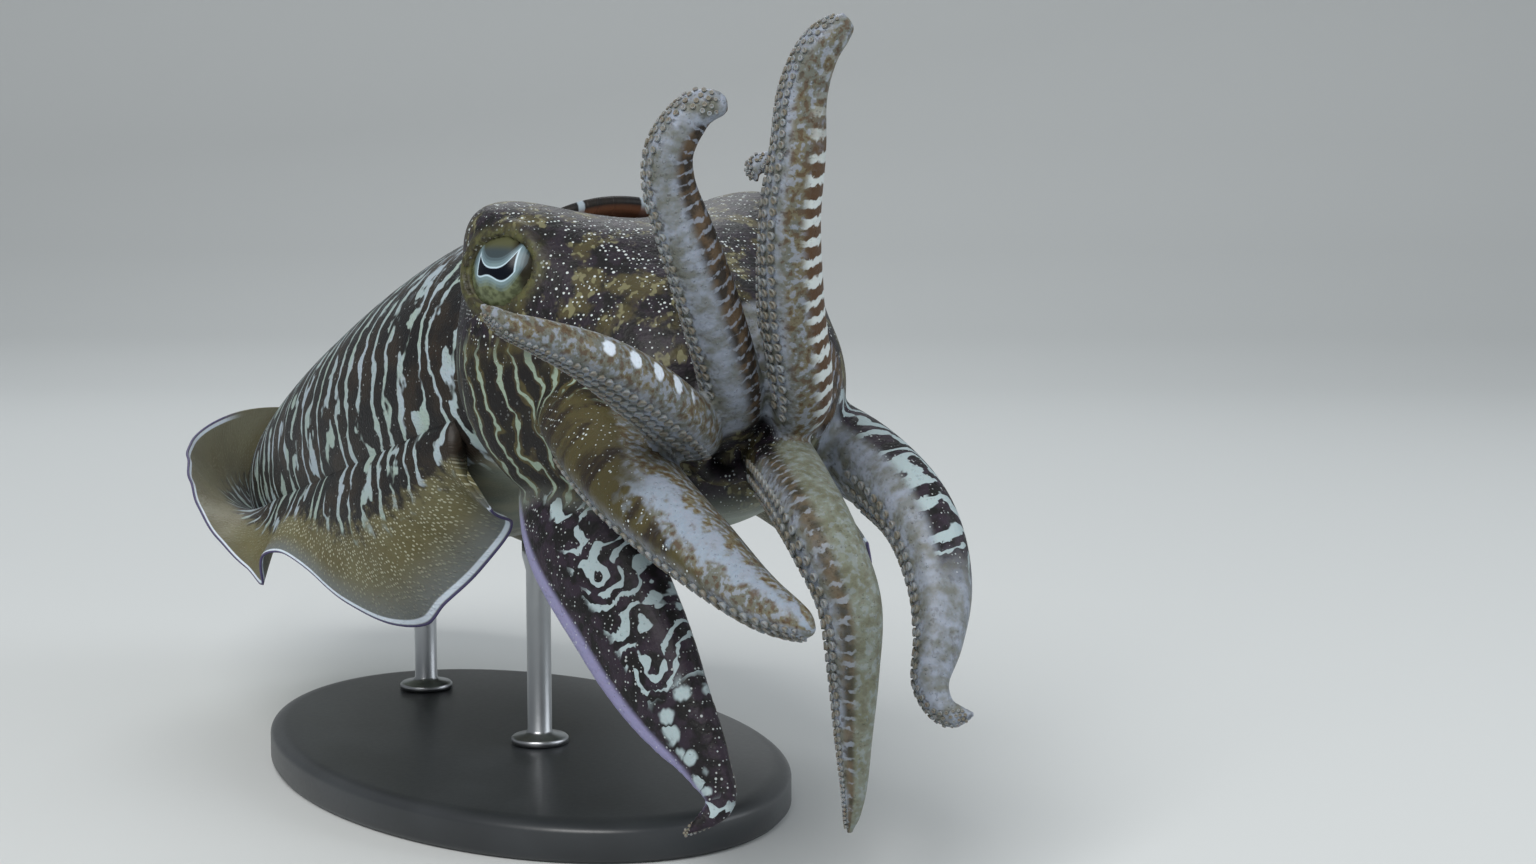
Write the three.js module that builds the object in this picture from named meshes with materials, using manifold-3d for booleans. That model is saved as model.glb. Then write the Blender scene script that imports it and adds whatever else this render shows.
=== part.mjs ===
// A common cuttlefish, life size, hovering with its arms spread, on a plain display stand.
// Millimetres, +Z up. The origin is the centre of the stand's underside.
// The animal heads towards -Y, its tail towards +Y, and its left side is +X.
import * as THREE from "three";
import { mergeVertices } from "three/addons/utils/BufferGeometryUtils.js";
import Module from "manifold-3d";

const wasm = await Module();
wasm.setup();

// Driving dimensions of the animal.
const MANTLE_LENGTH = 240;
const MANTLE_HALF_WIDTH = 49;
const MANTLE_TOP = 42;
const MANTLE_BOTTOM = 28;
const BODY_PITCH = 16.5;
const NECK_BACK = 17;
const NECK_DROP = 1;
const HEAD_CENTRE = new THREE.Vector3(0, -75, 118);
const GAP = 0.3;

// Driving dimensions of the stand.
const BASE_LENGTH = 194;
const BASE_WIDTH = 122;
const BASE_HEIGHT = 10;
const ROD_RADIUS = 3.2;
const ROD_COLLAR = 7.5;
const RODS = { front: { y: -12, top: 70 }, rear: { y: 66, top: 55 } };

const UP = new THREE.Vector3(0, 0, 1);
const radians = THREE.MathUtils.degToRad;
const v3 = (x, y, z) => new THREE.Vector3(x, y, z);

// A smooth curve through [position, value] pairs.
function profile(pairs) {
  return (s) => {
    const last = pairs.length - 1;
    let i = 0;
    while (i < last - 1 && s > pairs[i + 1][0]) i++;
    const [s0, a] = pairs[i];
    const [s1, b] = pairs[i + 1];
    const slope = (j) => {
      const lo = Math.max(0, j - 1);
      const hi = Math.min(last, j + 1);
      return (pairs[hi][1] - pairs[lo][1]) / (pairs[hi][0] - pairs[lo][0]);
    };
    const h = s1 - s0;
    const t = THREE.MathUtils.clamp((s - s0) / h, 0, 1);
    const m0 = slope(i) * h;
    const m1 = slope(i + 1) * h;
    const t2 = t * t;
    const t3 = t2 * t;
    return (2 * t3 - 3 * t2 + 1) * a + (t3 - 2 * t2 + t) * m0 + (3 * t2 - 2 * t3) * b + (t3 - t2) * m1;
  };
}

// A closed surface over a stack of rings, each closed by a fan round its own centre.
function loft(rings) {
  const sides = rings[0].length;
  const centre = (ring) =>
    ring.reduce((sum, p) => sum.add(p), v3(0, 0, 0)).divideScalar(sides);
  const points = rings.flat().concat([centre(rings[0]), centre(rings.at(-1))]);
  const first = rings.length * sides;
  const end = (rings.length - 1) * sides;
  const index = [];
  for (let k = 0; k < sides; k++) {
    const n = (k + 1) % sides;
    for (let i = 0; i < rings.length - 1; i++) {
      const low = i * sides;
      const high = low + sides;
      index.push(low + k, low + n, high + n, low + k, high + n, high + k);
    }
    index.push(first, n, k, first + 1, end + k, end + n);
  }
  const geometry = new THREE.BufferGeometry().setFromPoints(points);
  geometry.setIndex(index);
  return geometry;
}

// A geometry as a manifold-3d solid, turned outside out where it was built inside out.
function solid(geometry) {
  const bare = geometry.clone();
  bare.deleteAttribute("normal");
  bare.deleteAttribute("uv");
  const merged = mergeVertices(bare, 1e-4);
  const make = (triVerts) =>
    new wasm.Manifold(
      new wasm.Mesh({ numProp: 3, vertProperties: merged.attributes.position.array, triVerts }),
    );
  const triVerts = new Uint32Array(merged.index.array);
  const made = make(triVerts);
  if (made.volume() > 0) return made;
  for (let i = 0; i < triVerts.length; i += 3)
    [triVerts[i + 1], triVerts[i + 2]] = [triVerts[i + 2], triVerts[i + 1]];
  return make(triVerts);
}

// The largest closed body of a solid, as a geometry.
function geometryOf(made) {
  const bodies = made.decompose().sort((a, b) => b.volume() - a.volume());
  const mesh = bodies[0].getMesh();
  const geometry = new THREE.BufferGeometry();
  geometry.setAttribute("position", new THREE.BufferAttribute(new Float32Array(mesh.vertProperties), 3));
  geometry.setIndex(new THREE.BufferAttribute(new Uint32Array(mesh.triVerts), 1));
  geometry.computeVertexNormals();
  return geometry;
}

// One step round a section: 1 at the back of the animal, 0 at its sides, -1 at its belly.
function squircle(angle, power) {
  const c = Math.cos(angle);
  const s = Math.sin(angle);
  return [
    Math.sign(s) * Math.abs(s) ** (2 / power),
    Math.sign(c) * Math.abs(c) ** (2 / power),
  ];
}

// The mantle, in its own frame: y runs from its front rim to the tail, z up from its axis.
const mantleWidth = profile([
  [0, 0.83], [0.12, 0.94], [0.32, 1], [0.55, 0.93], [0.75, 0.73], [0.9, 0.43], [0.97, 0.22], [1, 0.06],
]);
const mantleTop = profile([
  [0, 0.93], [0.15, 1.05], [0.4, 0.94], [0.65, 0.74], [0.85, 0.54], [0.96, 0.32], [1, 0.1],
]);
const mantleBottom = profile([
  [0, 0.96], [0.2, 1.04], [0.45, 0.96], [0.7, 0.7], [0.88, 0.4], [0.96, 0.18], [1, 0.04],
]);
const MANTLE_RIM_LOBE = 13;
const MANTLE_RISE = 6;
const mantleRise = (s) => MANTLE_RISE * s * s;

function mantlePoint(s, angle, grow = 0) {
  const [side, rise] = squircle(angle, Math.cos(angle) > 0 ? 2.1 : 2.7);
  const height = rise > 0 ? MANTLE_TOP * mantleTop(s) : MANTLE_BOTTOM * mantleBottom(s);
  const lobe = MANTLE_RIM_LOBE * Math.max(0, Math.cos(angle)) ** 3 * Math.max(0, 1 - s / 0.2) ** 2;
  return v3(
    -(MANTLE_HALF_WIDTH * mantleWidth(s) + grow) * side,
    MANTLE_LENGTH * s - lobe,
    (height + grow) * rise + mantleRise(s),
  );
}

const MANTLE_SIDES = 28;
const MANTLE_STATIONS = [
  0, 0.03, 0.08, 0.15, 0.23, 0.32, 0.41, 0.5, 0.58, 0.66, 0.74, 0.81, 0.87, 0.92, 0.96, 0.985, 1,
];
const RIM_THICKNESS = 4;
const RIM_DEPTH = 9;

function mantleSolid(grow = 0) {
  const ring = (s, inset, back) =>
    Array.from({ length: MANTLE_SIDES }, (_, k) => {
      const angle = (2 * Math.PI * k) / MANTLE_SIDES;
      return mantlePoint(s, angle, grow - inset).add(v3(0, back, 0));
    });
  const front = grow ? [] : [ring(0, RIM_THICKNESS + 2, RIM_DEPTH), ring(0, RIM_THICKNESS, 1)];
  return solid(loft([...front, ...MANTLE_STATIONS.map((s) => ring(s, 0, 0))]));
}

// The fins: a membrane from a root low on the mantle's side to a rippling margin.
// Along each fin, reach is the straight distance from root to margin and droop the angle of
// that line below level, in degrees. Lead is how far its front lobe runs forward of its root.
const FIN_ROOT_ANGLE = 108;
const FIN_FROM = 0.03;
const FIN_TO = 0.965;
const FIN_STEPS = 50;
const FIN_ROWS = 4;
const FIN_FULLNESS = 0.42;
const FIN_TAIL_SWEEP = 9;
const FIN_LEAD_SPAN = 0.14;
const finThickness = profile([[0, 3.4], [0.3, 2], [1, 0.9]]);
const FINS = {
  right: {
    sign: -1,
    lead: 0,
    reach: profile([
      [0, 21], [0.03, 27], [0.07, 32], [0.15, 38.5], [0.19, 42], [0.24, 40], [0.29, 32], [0.34, 23],
      [0.39, 18.5], [0.43, 20], [0.47, 25], [0.52, 21], [0.58, 18.5], [0.66, 20.5], [0.8, 29], [1, 38],
    ]),
    droop: profile([
      [0, 107], [0.03, 125], [0.07, 120], [0.15, 107], [0.24, 99], [0.34, 75], [0.39, 59], [0.43, 51],
      [0.47, 63], [0.52, 53], [0.58, 23], [0.66, -17], [0.75, -43], [0.84, -57], [0.92, -76], [1, -103],
    ]),
  },
  left: {
    sign: 1,
    lead: 8,
    reach: profile([
      [0, 43], [0.05, 54], [0.13, 51], [0.2, 46], [0.35, 34], [0.46, 31], [0.7, 35], [0.88, 30], [1, 15],
    ]),
    droop: profile([
      [0, 59], [0.1, 55], [0.2, 45], [0.33, 18], [0.46, -6], [0.58, 19], [0.7, 42], [0.84, 20], [1, -3],
    ]),
  },
};

// A point of a fin's middle surface: u along the mantle, w from root (0) to margin (1).
function finPoint(fin, u, w) {
  const root = mantlePoint(THREE.MathUtils.lerp(FIN_FROM, FIN_TO, u), radians(FIN_ROOT_ANGLE));
  const droop = radians(fin.droop(u));
  const start = radians(THREE.MathUtils.clamp(20 + 0.9 * fin.droop(u), -40, 52));
  const bend = 2 * w * (1 - w) * FIN_FULLNESS * fin.reach(u);
  const chord = w * w * fin.reach(u);
  const trail = FIN_TAIL_SWEEP * w * Math.max(0, (u - 0.75) / 0.25) ** 2;
  const lead = fin.lead * w * Math.max(0, 1 - u / FIN_LEAD_SPAN) ** 2;
  return v3(
    fin.sign * (Math.abs(root.x) + bend * Math.cos(start) + chord * Math.cos(droop)),
    root.y + trail - lead,
    root.z - bend * Math.sin(start) - chord * Math.sin(droop),
  );
}

function finSolid(fin) {
  const point = (i, j) => finPoint(fin, i / FIN_STEPS, (j - 0.35) / (FIN_ROWS - 0.35));
  const faces = [1, -1].map((facing) => {
    const grid = [];
    for (let i = 0; i <= FIN_STEPS; i++)
      for (let j = 0; j <= FIN_ROWS; j++) {
        const along = point(Math.min(i + 1, FIN_STEPS), j).sub(point(Math.max(i - 1, 0), j));
        const across = point(i, Math.min(j + 1, FIN_ROWS)).sub(point(i, Math.max(j - 1, 0)));
        const normal = along.cross(across).normalize();
        grid.push(point(i, j).addScaledVector(normal, (facing * finThickness(j / FIN_ROWS)) / 2));
      }
    return grid;
  });
  const count = faces[0].length;
  const at = (i, j) => i * (FIN_ROWS + 1) + j;
  const index = [];
  const quad = (a, b, c, d) => index.push(a, b, c, a, c, d);
  for (let i = 0; i < FIN_STEPS; i++)
    for (let j = 0; j < FIN_ROWS; j++) {
      const [a, b, c, d] = [at(i, j), at(i + 1, j), at(i + 1, j + 1), at(i, j + 1)];
      index.push(a, b, c, a, c, d);
      index.push(count + a, count + c, count + b, count + a, count + d, count + c);
    }
  for (let i = 0; i < FIN_STEPS; i++) {
    quad(at(i, FIN_ROWS), at(i + 1, FIN_ROWS), count + at(i + 1, FIN_ROWS), count + at(i, FIN_ROWS));
    quad(at(i + 1, 0), at(i, 0), count + at(i, 0), count + at(i + 1, 0));
  }
  for (let j = 0; j < FIN_ROWS; j++) {
    quad(at(0, j), at(0, j + 1), count + at(0, j + 1), count + at(0, j));
    quad(at(FIN_STEPS, j + 1), at(FIN_STEPS, j), count + at(FIN_STEPS, j), count + at(FIN_STEPS, j + 1));
  }
  const geometry = new THREE.BufferGeometry().setFromPoints(faces.flat());
  geometry.setIndex(index);
  return solid(geometry);
}

// The head: sections from the neck, inside the mantle, to the crown of arms, about the head's centre.
// Each is [x, y, z of its centre, half width, rise above, fall below, pitch and yaw of its plane].
const HEAD_SECTIONS = [
  [0, 40, -14, 30, 21, 12, 16, 0],
  [0, 30, -11, 33, 24, 15, 16, 0],
  [-1, 20, -6, 38, 33, 21, 14, 0],
  [-2.5, 9, -5, 42.5, 37, 26, 8, 0],
  [-4, -3, -5, 44.5, 38, 31, 0, 0],
  [-4.5, -15, -7, 42.5, 37, 34, -8, 4],
  [-4.5, -27, -9, 37.5, 32, 34, -14, 7],
  [-5, -39, -12, 32, 28, 27, -18, 9],
  [-7, -48, -15, 25, 22, 22, -20, 10],
  [-9, -53, -18, 16, 15, 16, -20, 10],
];
const HEAD_SIDES = 28;
const BROW_RISE = 11;
const BROW_LEAN = 1.5;
const CROWN_DIP = 3;

function headSolid(grow = 0) {
  const rings = HEAD_SECTIONS.map(([x, y, z, width, rise, fall, pitch, yaw], i) => {
    const turn = new THREE.Euler(radians(-pitch), 0, radians(-yaw), "ZYX");
    const nearEyes = Math.exp(-(((y - 2) / 17) ** 2));
    return Array.from({ length: HEAD_SIDES }, (_, k) => {
      const angle = (2 * Math.PI * k) / HEAD_SIDES;
      const [side, up] = squircle(angle, 2.25);
      const fromTop = Math.abs(Math.atan2(Math.sin(angle), Math.cos(angle)));
      const browHeight = (BROW_RISE - BROW_LEAN * Math.sign(side)) * nearEyes;
      const brow = browHeight * Math.exp(-(((fromTop - radians(40)) / radians(17)) ** 2));
      const dip = CROWN_DIP * nearEyes * Math.exp(-((fromTop / radians(18)) ** 2));
      const height = up > 0 ? rise : fall;
      const bump = 1 + (brow - dip) / height;
      const inset = i === 0 || i === HEAD_SECTIONS.length - 1 ? 0 : grow;
      return v3(-(width + inset) * side * bump, 0, (height + inset) * up * bump)
        .applyEuler(turn)
        .add(v3(x, y, z));
    });
  });
  return solid(loft(rings));
}

// The eyes, set evenly about a middle that leans to the right with the head.
const EYE_RADIUS = 12.5;
const EYE_MIDDLE = v3(-3.5, -5, 17);
const EYE_SPREAD = 30;
const EYE_TURN = { outward: 62, up: 10 };
const LID_RADIUS = 9.8;
const LID_THICKNESS = 2.4;

function eyeAxis(sign) {
  const out = radians(EYE_TURN.outward);
  const up = radians(EYE_TURN.up);
  return v3(sign * Math.sin(out) * Math.cos(up), -Math.cos(out) * Math.cos(up), Math.sin(up));
}

const eyeCentre = (sign) => EYE_MIDDLE.clone().add(v3(sign * EYE_SPREAD, 0, 0));

function eyeSolid(sign, radius) {
  const ball = new THREE.SphereGeometry(radius, 18, 12);
  ball.translate(...eyeCentre(sign));
  return solid(ball);
}

function lidSolid(sign) {
  const ring = new THREE.TorusGeometry(LID_RADIUS, LID_THICKNESS, 6, 20);
  ring.applyQuaternion(new THREE.Quaternion().setFromUnitVectors(UP, eyeAxis(sign)));
  ring.translate(...eyeCentre(sign).addScaledVector(eyeAxis(sign), EYE_RADIUS * 0.66));
  return solid(ring);
}

// The arms, about the head's centre. A route runs from inside the head to the tip; oral is the way
// its suckers face at the root and at the tip; root and middle are the shares of its length where
// it leaves the head and where it is parted.
const ARMS = {
  arm_right_1: {
    route: [[-8, -42, -16], [-14, -62, -8], [-26, -75, 11], [-35, -81, 27], [-40, -83, 38],
      [-41, -86, 45.5], [-37, -90, 52.5], [-32, -94, 53.5]],
    oral: [[-0.85, 0.2, -0.3], [-0.94, 0.36, 0]],
    width: 12.5, depth: 14, slender: 0.5, root: 0.22, middle: 0.58,
  },
  arm_left_1: {
    route: [[4, -42, -16], [-2, -69, -7], [-11, -81, 15], [-15, -87, 31], [-16, -92, 45],
      [-16, -94, 56], [-14, -98, 65], [-9, -101, 70]],
    oral: [[-0.9, 0.15, -0.3], [-0.95, 0.28, 0.1]],
    width: 12.5, depth: 14.5, slender: 0.5, root: 0.26, middle: 0.6,
  },
  arm_left_2: {
    route: [[14, -32, -16], [7, -52, -8], [-1, -61, 12], [-5, -67, 27], [-6, -71, 37],
      [-8, -72, 42], [-13, -71, 42], [-13, -73, 38]],
    oral: [[-0.8, 0.1, -0.3], [-0.8, 0, 0]],
    width: 11.5, depth: 11, root: 0.28, middle: 0.6,
  },
  arm_right_2: {
    route: [[-13, -36, -18], [-25, -63, -13], [-42, -76, -3], [-56, -83, 4], [-69, -87, 9],
      [-77, -89, 12], [-82, -90, 16]],
    oral: [[-0.2, -0.15, -0.95], [-0.28, -0.05, -0.95]],
    width: 15, depth: 14, root: 0.26, middle: 0.6,
  },
  arm_right_3: {
    route: [[-21, -14, -7], [-32, -38, -17], [-35, -62, -27], [-33, -84, -36], [-30, -102, -43],
      [-27, -117, -46]],
    oral: [[-0.3, -0.05, -0.95], [-0.55, 0.15, -0.83]],
    width: 26, depth: 20, slender: 0.85, root: 0.28, middle: 0.64,
  },
  arm_left_3: {
    route: [[6, -36, -18], [-1, -60, -23], [-9, -82, -27], [-13, -97, -33], [-11, -103, -44],
      [-9, -102, -58], [-8, -101, -72], [-7, -100, -84], [-7, -99, -93]],
    oral: [[-0.8, 0.2, -0.5], [-0.87, 0.48, 0]],
    width: 16, depth: 16.5, slender: 1.15, root: 0.22, middle: 0.52,
  },
  arm_right_4: {
    route: [[-21, -6, -20], [-28, -24, -37], [-26.5, -42, -54], [-24, -55, -69], [-20.5, -66, -83],
      [-20, -70, -91], [-29, -67, -98]],
    oral: [[0.6, 0.3, -0.3], [0.6, 0.5, 0]],
    width: 26, depth: 14, keel: 4, slender: 1.8, root: 0.26, middle: 0.6,
  },
  arm_left_4: {
    route: [[23, -22, -18], [27, -53, -26], [27, -71.5, -35], [25.5, -81.5, -47], [21.5, -87.5, -57],
      [17.5, -91, -66], [18.5, -95.5, -71], [23, -101, -71]],
    oral: [[-0.7, 0.3, -0.6], [-0.87, 0.45, -0.1]],
    width: 21, depth: 19, slender: 1.2, keel: -4, root: 0.33, middle: 0.63,
  },
};
const ARM_SIDES = 10;
const ARM_STEP = 5.8;
const taper = profile([[0, 1.1], [0.3, 1], [0.6, 0.86], [0.85, 0.52], [0.96, 0.3], [1, 0.08]]);
const armTaper = (arm, t) => taper(t) ** (arm.slender ?? 1);
const keelTaper = (arm, t) => Math.min(1, 2 * armTaper(arm, t));

// A place on an arm: its centre, and the directions along it, across it and out of its oral face.
function armFrame(arm, t) {
  const curve = new THREE.CatmullRomCurve3(arm.route.map((p) => v3(...p)), false, "centripetal");
  const along = curve.getTangentAt(t);
  const oral = v3(...arm.oral[0]).lerp(v3(...arm.oral[1]), t);
  oral.addScaledVector(along, -oral.dot(along)).normalize();
  const across = oral.clone().cross(along);
  return { centre: curve.getPointAt(t), along, oral, across, length: curve.getLength() };
}

// A section of an arm: rounded outside, flatter on the oral face. The lowest pair has a keel on one edge.
function armRing(arm, t, grow = 0) {
  const { centre, oral, across } = armFrame(arm, t);
  const width = (arm.width / 2) * armTaper(arm, t) + grow;
  const depth = arm.depth * armTaper(arm, t) + grow;
  const keel = (arm.keel ?? 0) * Math.sin(Math.PI * Math.min(1, t * 1.02)) ** 0.6 * keelTaper(arm, t);
  return Array.from({ length: ARM_SIDES }, (_, k) => {
    const angle = (2 * Math.PI * (k + 0.5)) / ARM_SIDES;
    const [side, rise] = squircle(angle, 2.3);
    const edge = Math.max(0, Math.sign(keel) * Math.sin(angle)) ** 6 * keel;
    return centre.clone()
      .addScaledVector(across, side * width + edge)
      .addScaledVector(oral, rise * depth * (rise > 0 ? 0.34 : 0.56));
  });
}

function armLength(arm, from, to, grow = 0) {
  const count = Math.max(3, Math.round((armFrame(arm, 0).length * (to - from)) / ARM_STEP));
  const rings = Array.from({ length: count + 1 }, (_, i) =>
    armRing(arm, THREE.MathUtils.lerp(from, to, i / count), grow),
  );
  return solid(loft(rings));
}

// A sucker: a short cup, its root sunk in the arm.
const SUCKER_SIDES = 5;
function suckerSolid(place, facing, radius) {
  const ring = (r, z) =>
    Array.from({ length: SUCKER_SIDES }, (_, k) => {
      const a = (2 * Math.PI * k) / SUCKER_SIDES;
      return v3(r * Math.cos(a), r * Math.sin(a), z);
    });
  const cup = loft([
    ring(radius * 0.6, -1.6 * radius),
    ring(radius, 0.75 * radius),
    ring(radius * 0.45, 0.5 * radius),
  ]);
  cup.applyQuaternion(new THREE.Quaternion().setFromUnitVectors(UP, facing));
  cup.translate(place.x, place.y, place.z);
  return solid(cup);
}

// Suckers stand in four rows, two abreast at each step, out to the tip.
const SUCKER_ROWS = [[-0.62, 0.2], [-0.2, 0.62]];
const SUCKER_STEP = 9.4;
function suckers(arm, from, to) {
  const made = [];
  const { length } = armFrame(arm, 0);
  let t = Math.max(from, 0.22) + 0.02;
  for (let n = 0; t < Math.min(to, 0.97) - 0.015; n++) {
    const { centre, oral, across } = armFrame(arm, t);
    const width = (arm.width / 2) * armTaper(arm, t);
    const radius = THREE.MathUtils.clamp(width * 0.17, 0.5, 1.3);
    for (const row of SUCKER_ROWS[n % 2]) {
      const lift = arm.depth * armTaper(arm, t) * 0.34 * (1 - Math.abs(row) ** 2.3) ** (1 / 2.3);
      const facing = oral.clone().addScaledVector(across, row * 0.5).normalize();
      const place = centre.clone().addScaledVector(across, row * width).addScaledVector(oral, lift);
      made.push(suckerSolid(place, facing, radius));
    }
    t += SUCKER_STEP / length;
  }
  return made;
}

// One length of an arm with its suckers, clear of everything in room.
function armNode(arm, from, to, room) {
  const gap = GAP / armFrame(arm, 0).length;
  const tube = armLength(arm, from + gap, to);
  return [tube, ...suckers(arm, from, to)].reduce((a, b) => a.add(b)).subtract(room);
}

// The lips, in the middle of the crown.
const LIPS = { centre: v3(-9.5, -54, -18.5), facing: v3(-0.17, -0.92, -0.34), radius: 6.5, thickness: 2.2 };

function lipSolid() {
  const ring = new THREE.TorusGeometry(LIPS.radius, LIPS.thickness, 6, 18);
  ring.applyQuaternion(new THREE.Quaternion().setFromUnitVectors(UP, LIPS.facing.clone().normalize()));
  ring.translate(...LIPS.centre);
  return solid(ring);
}

// The funnel, from inside the mantle's lower rim to its mouth under the head.
const FUNNEL = { from: v3(0, 16, -25), to: v3(0, -19, -41), width: 11, height: 8.5, sides: 18 };
const FUNNEL_OUTLINE = [[0, 0.9], [0.3, 1], [0.7, 0.86], [1, 0.66]];
const FUNNEL_MOUTH = [[1, 0.48], [0.85, 0.4]];

function funnelSolid(grow = 0) {
  const lift = v3(0, 0, 1).projectOnPlane(FUNNEL.to.clone().sub(FUNNEL.from).normalize()).normalize();
  const outline = grow ? FUNNEL_OUTLINE : [...FUNNEL_OUTLINE, ...FUNNEL_MOUTH];
  const rings = outline.map(([t, share]) =>
    Array.from({ length: FUNNEL.sides }, (_, k) => {
      const a = (2 * Math.PI * k) / FUNNEL.sides;
      return FUNNEL.from.clone().lerp(FUNNEL.to, t)
        .addScaledVector(lift, Math.cos(a) * (FUNNEL.height * share + grow))
        .add(v3(-Math.sin(a) * (FUNNEL.width * share + grow), 0, 0));
    }),
  );
  return solid(loft(rings));
}

// The stand: an oval base with an eased edge, and rods with a collar at each end.
function baseSolid() {
  const outline = [
    [0, 0], [0.97, 0], [1, 1.5], [1, 7.5], [0.975, 9.2], [0.93, BASE_HEIGHT], [0, BASE_HEIGHT],
  ];
  const base = new THREE.LatheGeometry(outline.map(([r, z]) => new THREE.Vector2(r, z)), 48);
  base.rotateX(Math.PI / 2);
  base.scale(BASE_WIDTH / 2, BASE_LENGTH / 2, 1);
  return solid(base);
}

function rodSolid({ y, top }) {
  const foot = BASE_HEIGHT + GAP;
  const outline = [
    [0, foot], [ROD_COLLAR, foot], [ROD_COLLAR, foot + 1.6], [ROD_RADIUS, foot + 3],
    [ROD_RADIUS, top - 11], [ROD_COLLAR, top - 6], [ROD_COLLAR, top + 6], [0, top + 6],
  ];
  const rod = new THREE.LatheGeometry(outline.map(([r, z]) => new THREE.Vector2(r, z)), 16);
  rod.rotateX(Math.PI / 2);
  rod.translate(0, y, 0);
  return solid(rod);
}

function material(color, roughness) {
  return new THREE.MeshStandardMaterial({ color, roughness, metalness: 0 });
}
const BODY = material(0x3d322a, 0.5);
const FIN = material(0x8a8468, 0.5);
const ARM = material(0x8c8069, 0.5);
const EYE = material(0x9aa05a, 0.25);
const STAND = material(0x202224, 0.4);

function mesh(name, made, finish) {
  const node = new THREE.Mesh(geometryOf(made), finish);
  node.name = name;
  return node;
}

// The mantle and fins hang in their own frame, tilted with the body.
const animal = new THREE.Group();
animal.position.copy(HEAD_CENTRE);
const trunk = new THREE.Group();
trunk.rotation.x = radians(-BODY_PITCH);
const slope = radians(BODY_PITCH);
trunk.position.set(0, NECK_BACK * Math.cos(slope), -NECK_BACK * Math.sin(slope) - NECK_DROP);
animal.add(trunk);
trunk.updateMatrix();
animal.updateMatrix();

const toTrunk = trunk.matrix.clone().invert();
const inTrunk = (made) => made.transform(toTrunk.elements);
const headRoom = headSolid(GAP);
const mantleRoom = mantleSolid(GAP);
const neckRoom = headRoom.add(funnelSolid(GAP));
trunk.add(mesh("mantle", mantleSolid().subtract(inTrunk(neckRoom)), BODY));
for (const [side, fin] of Object.entries(FINS))
  trunk.add(mesh(`fin_${side}`, finSolid(fin).subtract(mantleRoom), FIN));
animal.add(mesh("funnel", funnelSolid().subtract(headRoom), BODY));

let headWhole = headSolid();
for (const arm of Object.values(ARMS)) headWhole = headWhole.add(armLength(arm, 0, arm.root));
headWhole = headWhole.add(lipSolid());
for (const sign of [1, -1]) headWhole = headWhole.add(lidSolid(sign));
for (const sign of [1, -1]) headWhole = headWhole.subtract(eyeSolid(sign, EYE_RADIUS + GAP));
animal.add(mesh("head", headWhole, BODY));
animal.add(mesh("eye_right", eyeSolid(-1, EYE_RADIUS), EYE));
animal.add(mesh("eye_left", eyeSolid(1, EYE_RADIUS), EYE));

// Where two arms press together, the later one gives way.
let room = headRoom;
for (const arm of Object.values(ARMS)) room = room.add(armLength(arm, 0, arm.root, GAP));
for (const [name, arm] of Object.entries(ARMS)) {
  animal.add(mesh(`${name}_base`, armNode(arm, arm.root, arm.middle, room), ARM));
  animal.add(mesh(`${name}_tip`, armNode(arm, arm.middle, 1, room), ARM));
  room = [armLength(arm, arm.root, 1, GAP), ...suckers(arm, arm.root, 1)].reduce((a, b) => a.add(b), room);
}

// The rods stop just short of the belly.
const stand = new THREE.Group();
stand.add(mesh("stand_base", baseSolid(), STAND));
const belly = mantleRoom.transform(animal.matrix.clone().multiply(trunk.matrix).elements);
for (const [name, rod] of Object.entries(RODS))
  stand.add(mesh(`stand_rod_${name}`, rodSolid(rod).subtract(belly), STAND));

const part = new THREE.Group();
part.add(animal, stand);
export default part;
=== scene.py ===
"""Dress the common cuttlefish: skin, suckers, eyes, stand, studio and camera, in metres."""
import logging
import math
from dataclasses import dataclass, field
from enum import Enum
from typing import Mapping, Optional, Sequence, Union

import bpy
import numpy as np
from mathutils import Matrix, Vector


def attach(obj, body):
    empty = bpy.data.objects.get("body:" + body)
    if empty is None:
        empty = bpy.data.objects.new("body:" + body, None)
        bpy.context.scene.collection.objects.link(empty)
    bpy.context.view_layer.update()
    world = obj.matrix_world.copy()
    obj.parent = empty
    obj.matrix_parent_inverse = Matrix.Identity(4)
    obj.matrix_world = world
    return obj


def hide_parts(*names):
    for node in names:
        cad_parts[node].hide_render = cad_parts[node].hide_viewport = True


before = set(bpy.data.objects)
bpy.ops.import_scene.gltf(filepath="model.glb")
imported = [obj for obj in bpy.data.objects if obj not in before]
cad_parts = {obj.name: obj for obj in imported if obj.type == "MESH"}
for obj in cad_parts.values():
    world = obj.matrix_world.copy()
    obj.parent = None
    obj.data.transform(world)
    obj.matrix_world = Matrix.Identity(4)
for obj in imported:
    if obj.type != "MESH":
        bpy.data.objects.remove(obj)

log = logging.getLogger("cuttlefish")
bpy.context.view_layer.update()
MM = 0.001
HEAD = np.array([0.0, -75.0, 118.0])
Colour = tuple[float, float, float]
Array = np.ndarray


def srgb(red: int, green: int, blue: int) -> Colour:
    """A screen colour as linear light.

    Args:
        red, green, blue: Channels from 0 to 255.

    Returns:
        The linear colour.
    """
    def linear(channel: int) -> float:
        """One channel as linear light."""
        c = channel / 255
        return c / 12.92 if c <= 0.04045 else ((c + 0.055) / 1.055) ** 2.4
    return linear(red), linear(green), linear(blue)


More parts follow.
